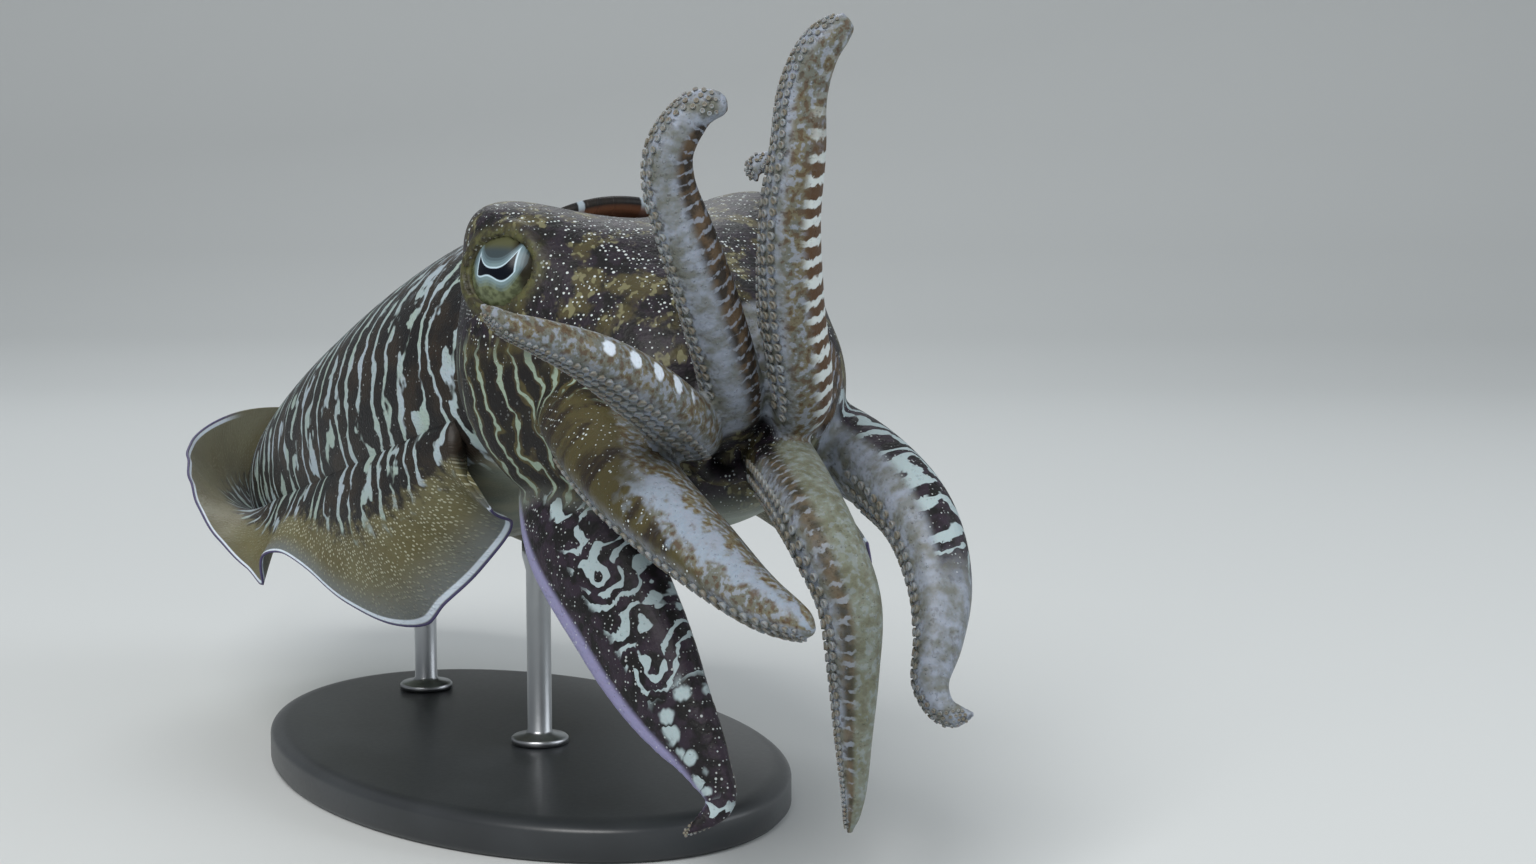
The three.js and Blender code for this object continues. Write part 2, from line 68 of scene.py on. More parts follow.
@dataclass(frozen=True)
class Profile:
    """A smooth curve through (position, value) pairs."""

    pairs: tuple[tuple[float, float], ...]

    def __call__(self, position: Union[float, Array]) -> Array:
        """The value at each position, held level past both ends.

        Args:
            position: One position or many.

        Returns:
            The values, in the shape of the positions.
        """
        x = np.array([p for p, _ in self.pairs])
        y = np.array([v for _, v in self.pairs])
        slope = np.empty_like(y)
        slope[1:-1] = (y[2:] - y[:-2]) / (x[2:] - x[:-2])
        slope[0] = (y[1] - y[0]) / (x[1] - x[0])
        slope[-1] = (y[-1] - y[-2]) / (x[-1] - x[-2])
        at = np.asarray(position, float)
        i = np.clip(np.searchsorted(x, at, side="left") - 1, 0, len(x) - 2)
        h = x[i + 1] - x[i]
        t = np.clip((at - x[i]) / h, 0, 1)
        t2, t3 = t * t, t * t * t
        return ((2 * t3 - 3 * t2 + 1) * y[i] + (t3 - 2 * t2 + t) * slope[i] * h
                + (3 * t2 - 2 * t3) * y[i + 1] + (t3 - t2) * slope[i + 1] * h)


def squircle(angle: Array, power: Union[float, Array]) -> tuple[Array, Array]:
    """A rounded square's side and rise, measured from the top.

    Args:
        angle: Angle from straight up, in radians.
        power: 2 for an ellipse, more for a squarer outline.

    Returns:
        The side and rise, each from -1 to 1.
    """
    c, s = np.cos(angle), np.sin(angle)
    return (np.sign(s) * np.abs(s) ** (2 / power), np.sign(c) * np.abs(c) ** (2 / power))


def unit(vectors: Array) -> Array:
    """Vectors scaled to length one."""
    return vectors / np.maximum(np.linalg.norm(vectors, axis=-1, keepdims=True), 1e-9)


def grid_quads(rows: int, columns: int, ring: bool) -> list[tuple[int, ...]]:
    """Faces of a grid of points.

    Args:
        rows: Number of rows of points.
        columns: Points in a row.
        ring: True where each row closes on itself.

    Returns:
        One quad per cell.
    """
    width = columns if ring else columns - 1
    return [(i * columns + k, i * columns + (k + 1) % columns,
             (i + 1) * columns + (k + 1) % columns, (i + 1) * columns + k)
            for i in range(rows - 1) for k in range(width)]


@dataclass
class Surface:
    """Points in millimetres, faces, and values kept at each point."""

    points: Array
    faces: list[tuple[int, ...]]
    values: dict[str, Array] = field(default_factory=dict)

    @staticmethod
    def loft(rings: Array, values: Optional[Mapping[str, Array]] = None) -> "Surface":
        """A closed surface over rings of points.

        Args:
            rings: Points as rings by sides by 3.
            values: Values at each point, as rings by sides, or by 3 for vectors.

        Returns:
            The surface, with a fan of faces over each end.
        """
        rows, sides = rings.shape[:2]
        ends = np.stack([rings[0].mean(axis=0), rings[-1].mean(axis=0)])
        points = np.concatenate([rings.reshape(-1, 3), ends])
        faces = grid_quads(rows, sides, True)
        first, last = rows * sides, (rows - 1) * sides
        for k in range(sides):
            n = (k + 1) % sides
            faces.append((first, n, k))
            faces.append((first + 1, last + k, last + n))
        kept = {}
        for name, value in (values or {}).items():
            flat = value.reshape((rows * sides,) + value.shape[2:])
            caps = np.stack([value[0].mean(axis=0), value[-1].mean(axis=0)])
            kept[name] = np.concatenate([flat, caps])
        return Surface(points, faces, kept)

    @staticmethod
    def join(parts: Sequence["Surface"]) -> "Surface":
        """Several surfaces as one.

        Args:
            parts: Surfaces that keep values of the same names.

        Returns:
            One surface with all their points and faces.
        """
        faces, offset = [], 0
        for part in parts:
            faces += [tuple(i + offset for i in face) for face in part.faces]
            offset += len(part.points)
        names = parts[0].values.keys()
        values = {name: np.concatenate([part.values[name] for part in parts]) for name in names}
        return Surface(np.concatenate([part.points for part in parts]), faces, values)

    def volume(self) -> float:
        """The volume enclosed, negative where the faces look inward.

        Returns:
            Cubic millimetres.
        """
        total = 0.0
        for face in self.faces:
            a = self.points[face[0]]
            for k in range(1, len(face) - 1):
                total += float(np.dot(a, np.cross(self.points[face[k]], self.points[face[k + 1]])))
        return total / 6

    def outward(self) -> "Surface":
        """The same surface with its faces looking outward.

        Returns:
            This surface.
        """
        if self.volume() < 0:
            self.faces = [tuple(reversed(face)) for face in self.faces]
        return self

    def mesh(self, name: str) -> bpy.types.Object:
        """An object of this surface, in metres, with its values as attributes.

        Args:
            name: Name of the object.

        Returns:
            The object, linked to the scene and shaded smooth.
        """
        mesh = bpy.data.meshes.new(name)
        mesh.from_pydata((self.points * MM).tolist(), [], self.faces)
        mesh.polygons.foreach_set("use_smooth", [True] * len(mesh.polygons))
        keep_values(mesh, self.values)
        mesh.update()
        made = bpy.data.objects.new(name, mesh)
        bpy.context.scene.collection.objects.link(made)
        return made


def keep_values(mesh: bpy.types.Mesh, values: Mapping[str, Array]) -> None:
    """Store numbers or vectors at a mesh's points.

    Args:
        mesh: The mesh.
        values: Arrays by attribute name, one number or three for each point.
    """
    for name, value in values.items():
        vector = value.ndim == 2
        kept = mesh.attributes.new(name, "FLOAT_VECTOR" if vector else "FLOAT", "POINT")
        kept.data.foreach_set("vector" if vector else "value",
                              np.ascontiguousarray(value, float).ravel())


def hoop(core: Array, out: Array, axis: Array, thickness: float, sides: int) -> Surface:
    """A closed ring round an axis.

    Args:
        core: Points of its middle line.
        out: Direction away from the axis at each of them.
        axis: Direction of the axis.
        thickness: Radius of its section.
        sides: Sides round its section.

    Returns:
        The ring.
    """
    b = np.linspace(0, 2 * math.pi, sides, endpoint=False)[None, :, None]
    points = core[:, None] + thickness * (np.cos(b) * out[:, None] + np.sin(b) * axis)
    count = len(core)
    faces = [(i * sides + k, (i + 1) % count * sides + k,
              (i + 1) % count * sides + (k + 1) % sides, i * sides + (k + 1) % sides)
             for i in range(count) for k in range(sides)]
    return Surface(points.reshape(-1, 3), faces)


def settle(piece: bpy.types.Object, slot: str, finish: bpy.types.Material, *nodes: str) -> None:
    """Dress a piece, fix it to the frame and let it stand for its nodes.

    Args:
        piece: The piece.
        slot: Not used.
        finish: Its material.
        nodes: The solids that it replaces.
    """
    piece.data.materials.append(finish)
    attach(piece, "root")
    if nodes:
        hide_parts(*nodes)
    log.info("%s: %d faces", piece.name, len(piece.data.polygons))


Value = Union["Shade", float, Colour]
# Sockets of a Mix node that blends colours.
MIX_FACTOR, MIX_FIRST, MIX_SECOND, MIX_COLOUR = 0, 6, 7, 2
DOT_EDGE = 0.06
DOTS_SHOWN = (0.1, 0.5)


class Shade:
    """An output socket of a material's nodes, which takes part in arithmetic."""

    def __init__(self, bench: "Bench", socket: Optional[bpy.types.NodeSocket]) -> None:
        """Keep a socket and the bench that it belongs to."""
        self.bench = bench
        self.socket = socket

    def maths(self, operation: str, *values: Value) -> "Shade":
        """A Math node on values."""
        return self.bench.node("ShaderNodeMath", {"operation": operation}, dict(enumerate(values)))

    def __add__(self, other: Value) -> "Shade":
        """The sum."""
        return self.maths("ADD", self, other)

    __radd__ = __add__

    def __mul__(self, other: Value) -> "Shade":
        """The product."""
        return self.maths("MULTIPLY", self, other)

    __rmul__ = __mul__

    def __sub__(self, other: Value) -> "Shade":
        """The difference."""
        return self.maths("SUBTRACT", self, other)

    def __rsub__(self, other: Value) -> "Shade":
        """The difference, the other way round."""
        return self.maths("SUBTRACT", other, self)

    def __truediv__(self, other: Value) -> "Shade":
        """The quotient."""
        return self.maths("DIVIDE", self, other)

    def __rtruediv__(self, other: Value) -> "Shade":
        """The quotient, the other way round."""
        return self.maths("DIVIDE", other, self)

    def sine(self) -> "Shade":
        """The sine."""
        return self.maths("SINE", self)

    def size(self) -> "Shade":
        """The absolute value."""
        return self.maths("ABSOLUTE", self)

    def least(self, other: Value) -> "Shade":
        """The smaller of two values."""
        return self.maths("MINIMUM", self, other)

    def most(self, other: Value) -> "Shade":
        """The larger of two values."""
        return self.maths("MAXIMUM", self, other)

    def power(self, other: Value) -> "Shade":
        """A power."""
        return self.maths("POWER", self, other)

    def fold(self, span: float) -> "Shade":
        """The distance from the nearest even multiple of a span."""
        return self.maths("PINGPONG", self, span)

    def rise(self, low: Value, high: Value) -> "Shade":
        """A smooth step from 0 at low to 1 at high."""
        return self.bench.node("ShaderNodeMapRange", {"interpolation_type": "SMOOTHSTEP"},
                               {"Value": self, "From Min": low, "From Max": high})

    def band(self, low: float, high: float, soft: float) -> "Shade":
        """1 between low and high, softly 0 outside."""
        return self.rise(low - soft, low + soft) * (1 - self.rise(high - soft, high + soft))


@dataclass(frozen=True)
class Shine:
    """The parts of a finish that are the same all over."""

    coat: float = 0.0
    coat_roughness: float = 0.18
    metallic: float = 0.0
    subsurface: float = 0.0
    scatter: float = 0.002
    specular: float = 0.5


MOIST = Shine(coat=0.03, subsurface=0.03, specular=0.22)


class Bench:
    """The nodes of one material."""

    def __init__(self, name: str) -> None:
        """Start an empty material.

        Args:
            name: Name of the material.
        """
        self.material = bpy.data.materials.new(name)
        self.material.use_nodes = True
        self.tree = self.material.node_tree
        self.tree.nodes.clear()

    def node(self, kind: str, settings: Optional[Mapping[str, object]] = None,
             inputs: Optional[Mapping[Union[int, str], Value]] = None,
             output: Union[int, str] = 0) -> Shade:
        """Add a node.

        Args:
            kind: The node's type.
            settings: Its properties, which are set first.
            inputs: Values or links by socket index or name.
            output: The socket that is returned.

        Returns:
            The chosen output.
        """
        made = self.tree.nodes.new(kind)
        for name, value in (settings or {}).items():
            setattr(made, name, value)
        for key, value in (inputs or {}).items():
            socket = made.inputs[key]
            if isinstance(value, Shade):
                self.tree.links.new(value.socket, socket)
            elif isinstance(value, tuple) and socket.type == "RGBA":
                socket.default_value = (*value, 1.0)
            else:
                socket.default_value = value
        return Shade(self, made.outputs[output]) if made.outputs else Shade(self, None)

    def number(self, name: str) -> Shade:
        """A number kept at the mesh's points."""
        return self.node("ShaderNodeAttribute", {"attribute_name": name}, output="Fac")

    def place(self, name: str) -> Shade:
        """A vector kept at the mesh's points."""
        return self.node("ShaderNodeAttribute", {"attribute_name": name}, output="Vector")

    def parts(self, vector: Shade) -> tuple[Shade, ...]:
        """A vector's three parts."""
        split = self.node("ShaderNodeSeparateXYZ", {}, {0: vector})
        return tuple(Shade(self, socket) for socket in split.socket.node.outputs)

    def stretch(self, vector: Shade, scale: tuple[float, float, float]) -> Shade:
        """A vector multiplied part by part."""
        return self.node("ShaderNodeVectorMath", {"operation": "MULTIPLY"}, {0: vector, 1: scale})

    def noise(self, vector: Shade, grain: float, detail: float = 2.0) -> Shade:
        """Soft noise from 0 to 1.

        Args:
            vector: Place in millimetres.
            grain: Size of its features in millimetres.
            detail: Number of finer layers.

        Returns:
            The noise.
        """
        inputs = {"Vector": vector, "Scale": 1 / grain, "Detail": detail}
        return self.node("ShaderNodeTexNoise", {}, inputs)

    def dots(self, vector: Shade, pitch: float, radius: Value, jitter: float = 0.85,
             even: float = 0.0) -> Shade:
        """Round dots of mixed sizes.

        Args:
            vector: Place in millimetres.
            pitch: Distance between dots in millimetres.
            radius: Largest radius as a share of the pitch.
            jitter: How unevenly they lie, from 0 to 1.
            even: Share of the radius that every dot has.

        Returns:
            1 inside a dot, 0 outside.
        """
        cell = self.node("ShaderNodeTexVoronoi", {"feature": "F1"},
                         {"Vector": vector, "Scale": 1 / pitch, "Randomness": jitter}, "Distance")
        chance = Shade(self, cell.socket.node.outputs["Color"])
        size, shown, _ = self.parts(chance)
        reach = (size * shown.rise(*DOTS_SHOWN) * (1 - even) + even) * radius
        return 1 - (cell - reach).rise(-DOT_EDGE, DOT_EDGE)

    def mix(self, factor: Value, first: Value, second: Value) -> Shade:
        """A colour between two colours."""
        inputs = {MIX_FACTOR: factor, MIX_FIRST: first, MIX_SECOND: second}
        return self.node("ShaderNodeMix", {"data_type": "RGBA"}, inputs, MIX_COLOUR)

    def bump(self, height: Shade, distance: float, strength: float = 1.0) -> Shade:
        """A surface relief.

        Args:
            height: Height from 0 to 1.
            distance: Height of 1 in millimetres.
            strength: Strength of the relief.

        Returns:
            The normal.
        """
        return self.node("ShaderNodeBump", {},
                         {"Height": height, "Distance": distance * MM, "Strength": strength})

    def finish(self, colour: Value, roughness: Value, normal: Optional[Shade] = None,
               shine: Shine = Shine()) -> bpy.types.Material:
        """Close the material with its shader.

        Args:
            colour: Base colour.
            roughness: Roughness.
            normal: Normal from a bump.
            shine: What is the same all over.

        Returns:
            The material.
        """
        inputs: dict[Union[int, str], Value] = {
            "Base Color": colour, "Roughness": roughness, "Metallic": shine.metallic,
            "Coat Weight": shine.coat, "Coat Roughness": shine.coat_roughness,
            "Subsurface Weight": shine.subsurface, "Subsurface Scale": shine.scatter,
            "Specular IOR Level": shine.specular,
        }
        if normal is not None:
            inputs["Normal"] = normal
        shader = self.node("ShaderNodeBsdfPrincipled", {}, inputs)
        self.node("ShaderNodeOutputMaterial", {}, {0: shader})
        return self.material


@dataclass(frozen=True)
class SkinTones:
    """The colours of the living skin."""

    dark: Colour = srgb(22, 21, 22)
    plum: Colour = srgb(38, 32, 40)
    night: Colour = srgb(44, 36, 46)
    umber: Colour = srgb(42, 35, 28)
    rust: Colour = srgb(78, 56, 36)
    chestnut: Colour = srgb(84, 68, 50)
    brick: Colour = srgb(134, 90, 68)
    olive: Colour = srgb(74, 68, 42)
    lid: Colour = srgb(82, 82, 52)
    lid_dark: Colour = srgb(58, 56, 40)
    gold: Colour = srgb(140, 138, 104)
    web: Colour = srgb(92, 86, 56)
    web_pale: Colour = srgb(104, 100, 72)
    beige: Colour = srgb(106, 100, 80)
    drab: Colour = srgb(100, 102, 94)
    moss: Colour = srgb(98, 106, 92)
    sage: Colour = srgb(124, 132, 120)
    haze: Colour = srgb(108, 116, 122)
    mint: Colour = srgb(150, 168, 160)
    stripe: Colour = srgb(136, 152, 136)
    maze: Colour = srgb(160, 176, 180)
    frost: Colour = srgb(160, 174, 184)
    ice: Colour = srgb(136, 150, 166)
    pearl: Colour = srgb(140, 148, 162)
    belly: Colour = srgb(138, 146, 136)
    cream: Colour = srgb(176, 176, 154)
    white: Colour = srgb(196, 204, 204)
    oval: Colour = srgb(210, 220, 232)
    margin: Colour = srgb(205, 216, 228)
    lilac: Colour = srgb(138, 136, 172)
    violet: Colour = srgb(78, 72, 108)


TONES = SkinTones()


@dataclass(frozen=True)
class TrunkSkin:
    """Skin of mantle and fins: pale bands on the flanks, cream dots on the fins, a white margin.

    A pair of numbers gives where a marking begins and where it is full: as a share of the turn
    from back to belly, as a share of the fin from root to margin, or in millimetres along.
    """

    band_pitch: float = 7.4
    band_lean: float = 0.32
    band_height: float = 46.0
    dot_pitch: float = 0.98
    dot_radius: float = 0.3
    speck_pitch: float = 1.2
    speck_radius: float = 0.24
    flank_turn: tuple[float, float] = (0.13, 0.26)
    ridge_turn: tuple[float, float] = (0.13, 0.36)
    belly_turn: tuple[float, float] = (0.68, 0.8)
    belly_fin: tuple[float, float] = (0.02, 0.05)
    web_fin: tuple[float, float] = (0.34, 0.56)
    haze_fin: tuple[float, float] = (0.7, 1.0)
    margin_fin: tuple[float, float] = (0.962, 0.986)
    edge_fin: tuple[float, float] = (0.986, 0.992)
    dots_end: tuple[float, float] = (96.0, 122.0)
    margin_end: tuple[float, float] = (212.0, 222.0)

    def bands(self, bench: Bench, lay: Shade) -> Shade:
        """The pale bands across the flanks.

        Args:
            bench: The bench.
            lay: Place around and along the trunk in millimetres.

        Returns:
            1 in a band, 0 between bands.
        """
        around, along, _ = bench.parts(lay)
        slow = bench.noise(bench.stretch(lay, (0.6, 1.0, 1.0)), 13.0, 1.0)
        quick = bench.noise(bench.stretch(lay, (0.9, 1.0, 1.0)), 5.0, 2.0)
        high = around.size().least(self.band_height)
        run = along - high * self.band_lean + slow * 18.0 + quick * 7.0
        wave = (run * (math.tau / self.band_pitch)).sine()
        breaks = bench.noise(bench.stretch(lay, (0.45, 1.0, 1.0)), 4.0, 1.0)
        return (wave + (breaks - 0.5) * 2.5).rise(0.5, 0.85)

    def back(self, bench: Bench, lay: Shade, turn: Shade, patches: Shade) -> Shade:
        """The mantle's dark ground with its bands, and dashes along the middle of the back.

        Args:
            bench: The bench.
            lay: Place around and along the trunk in millimetres.
            turn: Share of the turn from back to belly.
            patches: Noise of broad patches.

        Returns:
            The colour.
        """
        ground = bench.mix(patches.rise(0.42, 0.62), TONES.dark, TONES.umber)
        pale = bench.mix(patches.rise(0.35, 0.65), TONES.mint, TONES.frost)
        colour = bench.mix(self.bands(bench, lay) * turn.rise(*self.flank_turn), ground, pale)
        dashes = bench.noise(bench.stretch(lay, (0.45, 1.3, 1.0)), 1.9, 1.0).rise(0.56, 0.63)
        ridge = 1 - turn.rise(*self.ridge_turn)
        return bench.mix(ridge * dashes * 0.8, colour, TONES.frost)

    def web(self, bench: Bench, lay: Shade, fin: Shade, patches: Shade, dots: Shade) -> Shade:
        """The fins' olive web with its cream dots.

        Args:
            bench: The bench.
            lay: Place around and along the trunk in millimetres.
            fin: Share of the fin from root to margin.
            patches: Noise of broad patches.
            dots: 1 in a dot.

        Returns:
            The colour.
        """
        front = 1 - bench.parts(lay)[1].rise(*self.dots_end) * 0.8
        colour = bench.mix(patches.rise(0.35, 0.65), TONES.web, TONES.web_pale)
        colour = bench.mix(fin.rise(*self.haze_fin) * front * 0.75, colour, TONES.haze)
        return bench.mix(dots * front * (0.85 - fin.rise(0.66, 0.94) * 0.7), colour, TONES.cream)

    def margin(self, bench: Bench, lay: Shade, fin: Shade, colour: Shade) -> Shade:
        """The fins' white margin and its violet edge.

        Args:
            bench: The bench.
            lay: Place around and along the trunk in millimetres.
            fin: Share of the fin from root to margin.
            colour: The colour under them.

        Returns:
            The colour with the margin.
        """
        shown = 1 - bench.parts(lay)[1].rise(*self.margin_end)
        colour = bench.mix(fin.band(*self.margin_fin, 0.004) * shown, colour, TONES.margin)
        return bench.mix(fin.rise(*self.edge_fin) * shown, colour, TONES.violet)

    def material(self) -> bpy.types.Material:
        """The finished material.

        Returns:
            The material.
        """
        bench = Bench("trunk_skin")
        lay, turn, fin = bench.place("lay"), bench.number("turn"), bench.number("fin")
        patches = bench.noise(lay, 14.0, 3.0)
        fray = bench.noise(lay, 3.0, 2.0)
        specks = bench.dots(lay, self.speck_pitch, self.speck_radius)
        dots = bench.dots(lay, self.dot_pitch, self.dot_radius, 0.5, 1.0)
        colour = bench.mix(specks * 0.5, self.back(bench, lay, turn, patches), TONES.white)
        belly = turn.rise(*self.belly_turn) * (1 - fin.rise(*self.belly_fin))
        under = bench.mix(patches.rise(0.3, 0.7), TONES.belly, TONES.cream)
        colour = bench.mix(belly, colour, under)
        reach = fin + (fray - 0.5) * 0.5
        web = self.web(bench, lay, fin, patches, dots)
        colour = bench.mix(reach.rise(*self.web_fin), colour, web)
        colour = self.margin(bench, lay, fin, colour)
        colour = bench.mix(bench.number("rim") * (0.75 + fray * 0.25), colour, TONES.brick)
        grain = bench.noise(lay, 0.9, 3.0) * 0.5 + specks * 0.5 + dots * 0.25
        return bench.finish(colour, 0.44 + grain * 0.12, bench.bump(grain, 0.32), MOIST)


@dataclass
class ArmSkin:
    """Skin of the arms, with one method for each kind of marking.

    A pitch is in millimetres along the arm, and a pair of numbers gives where a marking begins
    and ends along it.
    """

    bench: Bench
    place: Shade
    lay: Shade
    stars: Shade
    rib_pitch: float = 2.6
    tick_pitch: float = 2.9
    bar_pitch: float = 4.4
    bars_along: tuple[float, float] = (24.0, 92.0)
    oval_pitch: float = 7.2
    oval_length: float = 1.75
    oval_facing: float = -0.34
    oval_height: float = 0.2
    ovals_along: tuple[float, float] = (44.0, 74.0)
    maze_pitch: float = 6.2
    spot_pitch: float = 5.2
    spots_along: tuple[float, float] = (78.0, 104.0)
    lobe_end: tuple[float, float] = (56.0, 64.0)
    sheen_along: tuple[float, float] = (68.0, 124.0)
    high_end: tuple[float, float] = (68.0, 78.0)

    def __post_init__(self) -> None:
        """Read the place on the arm and lay the noises that the markings share."""
        self.across, self.along, self.facing = self.bench.parts(self.lay)
        self.mottle = self.bench.noise(self.place, 3.6, 3.0)
        self.fleck = self.bench.noise(self.place, 1.5, 2.0)

    def wave(self, pitch: float, sway: float) -> Shade:
        """Waves along the arm, swayed by the mottling."""
        return ((self.along + self.mottle * sway) * (math.tau / pitch)).sine()

    def plain(self) -> Shade:
        """Beige skin with pearly and rusty flecks.

        Returns:
            The colour.
        """
        mix = self.bench.mix
        colour = mix(self.mottle.rise(0.4, 0.6), TONES.beige, TONES.drab)
        colour = mix(self.fleck.rise(0.52, 0.62) * 0.7, colour, TONES.pearl)
        return mix((1 - self.fleck.rise(0.38, 0.47)) * 0.7, colour, TONES.rust)

    def ribs(self) -> Shade:
        """Pearly skin with faint ribs.

        Returns:
            The colour.
        """
        mix = self.bench.mix
        ribs = self.wave(self.rib_pitch, 0.0).rise(-0.8, 0.8)
        colour = mix(self.mottle.rise(0.35, 0.65) * 0.7 + ribs * 0.2, TONES.pearl, TONES.drab)
        return mix(self.fleck.rise(0.58, 0.7) * 0.3, colour, TONES.umber)

    def bars(self, plain: Shade) -> Shade:
        """White and rusty bars.

        Args:
            plain: The colour beyond them.

        Returns:
            The colour.
        """
        mix = self.bench.mix
        bars = self.wave(self.bar_pitch, 2.4) + (self.fleck - 0.5) * 2.0
        colour = mix(bars.rise(-0.1, 0.5), TONES.rust, TONES.white)
        return mix((1 - self.along.band(*self.bars_along, 10.0)) * 0.85, colour, plain)

    def ticks(self) -> Shade:
        """Brown skin with pearly ticks.

        Returns:
            The colour.
        """
        mix = self.bench.mix
        ticks = self.wave(self.tick_pitch, 1.6) + (self.fleck - 0.5) * 3.0
        colour = mix(self.mottle.rise(0.4, 0.6), TONES.umber, TONES.chestnut)
        return mix(ticks.rise(0.5, 1.0) * 0.7, colour, TONES.pearl)

    def soft(self, plain: Shade) -> Shade:
        """Softer green skin over the plain skin of a mottled arm.

        Args:
            plain: The plain skin.

        Returns:
            The colour.
        """
        green = self.bench.mix(self.mottle.rise(0.35, 0.65), TONES.moss, TONES.sage)
        return self.bench.mix(self.bench.number("mottled") * 0.6, plain, green)

    def lobe(self, outer: Shade) -> Shade:
        """A starry olive base, and beyond it a pale patch of painted sheen.

        Args:
            outer: The colour under them.

        Returns:
            The colour.
        """
        mix, lobed = self.bench.mix, self.bench.number("lobed")
        clouds = self.bench.noise(self.lay, 6.0, 3.0)
        ripe = mix(clouds.rise(0.45, 0.6), TONES.olive, TONES.umber)
        ripe = mix(self.stars, ripe, TONES.white)
        swayed = self.along + self.mottle * 14.0
        reach = swayed - (self.facing + 0.45) * 60.0
        outer = mix(lobed * (1 - reach.rise(*self.lobe_end)), outer, ripe)
        # Painted sheen: a pale bluish patch along one side of the arm, where light catches it.
        edge = (self.facing + (self.mottle - 0.5) * 1.1).band(-0.56, -0.16, 0.12)
        painted_sheen = swayed.band(*self.sheen_along, 5.0) * edge
        pale = mix(self.mottle.rise(0.3, 0.7), TONES.ice, TONES.pearl)
        return mix(lobed * painted_sheen * 0.9, outer, pale)

    def ovals(self, outer: Shade) -> Shade:
        """A row of white ovals.

        Args:
            outer: The colour under them.

        Returns:
            The colour.
        """
        long = self.along.fold(self.oval_pitch / 2) / self.oval_length
        tall = (self.facing - self.oval_facing) / self.oval_height
        inside = 1 - (long * long + tall * tall).rise(0.5, 1.2)
        row = inside * self.along.band(*self.ovals_along, 1.0) * (1 - self.across.rise(-0.5, 0.5))
        return self.bench.mix(self.bench.number("pearled") * row, outer, TONES.oval)

    def maze(self) -> Shade:
        """The bold pale maze of the lowest arms, with round spots towards the tip.

        Returns:
            1 in the maze and the spots, 0 between.
        """
        bench, lay = self.bench, self.lay
        slow = bench.noise(lay, 8.0, 0.0)
        quick = bench.noise(lay, 3.0, 1.0)
        run = self.along + self.across.size() * 0.5 + slow * 20.0 + quick * 4.0
        wave = (run * (math.tau / self.maze_pitch)).sine()
        breaks = bench.noise(lay, 2.6, 0.0)
        bands = (wave + (breaks - 0.5) * 2.8).rise(0.28, 0.5)
        spots = bench.dots(bench.stretch(lay, (0.8, 1.0, 1.0)), self.spot_pitch, 0.5, 0.72, 0.55)
        spotted = (self.along + slow * 12.0).band(*self.spots_along, 3.0)
        return bench.mix(spotted, bands, spots)

    def bold(self, outer: Shade) -> Shade:
        """Dark starry skin with the maze, on the lowest arms.

        Args:
            outer: The colour under it.

        Returns:
            The colour.
        """
        mix, ribbed = self.bench.mix, self.bench.number("ribbed")
        ground = mix(self.mottle.rise(0.4, 0.6), TONES.dark, TONES.night)
        ground = mix(self.stars * 0.7, ground, TONES.white)
        shown = 1 - (self.across + (self.mottle - 0.5) * 6.0).rise(3.5, 5.5) * (1 - ribbed)
        ground = mix(self.maze() * shown, ground, TONES.maze)
        base = 1 - (self.along + self.mottle * 10.0).rise(*self.high_end)
        high = base * (1 - self.facing.rise(-0.22, -0.04))
        share = self.bench.number("bold").most(ribbed * high)
        return mix(share * (1 - self.facing.rise(-0.05, 0.15)), outer, ground)

    def inner(self) -> Shade:
        """The pearly inner face.

        Returns:
            The colour.
        """
        colour = self.bench.mix(self.mottle.rise(0.35, 0.65), TONES.pearl, TONES.drab)
        return self.bench.mix((1 - self.fleck.rise(0.32, 0.46)) * 0.6, colour, TONES.umber)

    def colour(self) -> Shade:
        """The skin of all arms.

        Returns:
            The colour.
        """
        mix, number = self.bench.mix, self.bench.number
        plain, brown = self.plain(), self.ticks()
        edged = number("edged")
        back = 1 - self.facing.rise(-0.42, -0.14)
        outer = mix(edged.most(number("ribbed")), self.soft(plain), self.ribs())
        fringe = self.facing.band(-0.06, 0.5, 0.1) * number("mottled")
        outer = mix(fringe * 0.8, outer, brown)
        outer = mix(number("barred") * back, outer, self.bars(plain))
        outer = mix(edged * back, outer, brown)
        outer = self.bold(self.ovals(self.lobe(outer)))
        colour = mix(self.facing.rise(0.1, 0.4), outer, self.inner())
        keel = mix(self.bench.dots(self.lay, 1.0, 0.3) * 0.6, TONES.lilac, TONES.white)
        return mix(number("keel"), colour, keel)


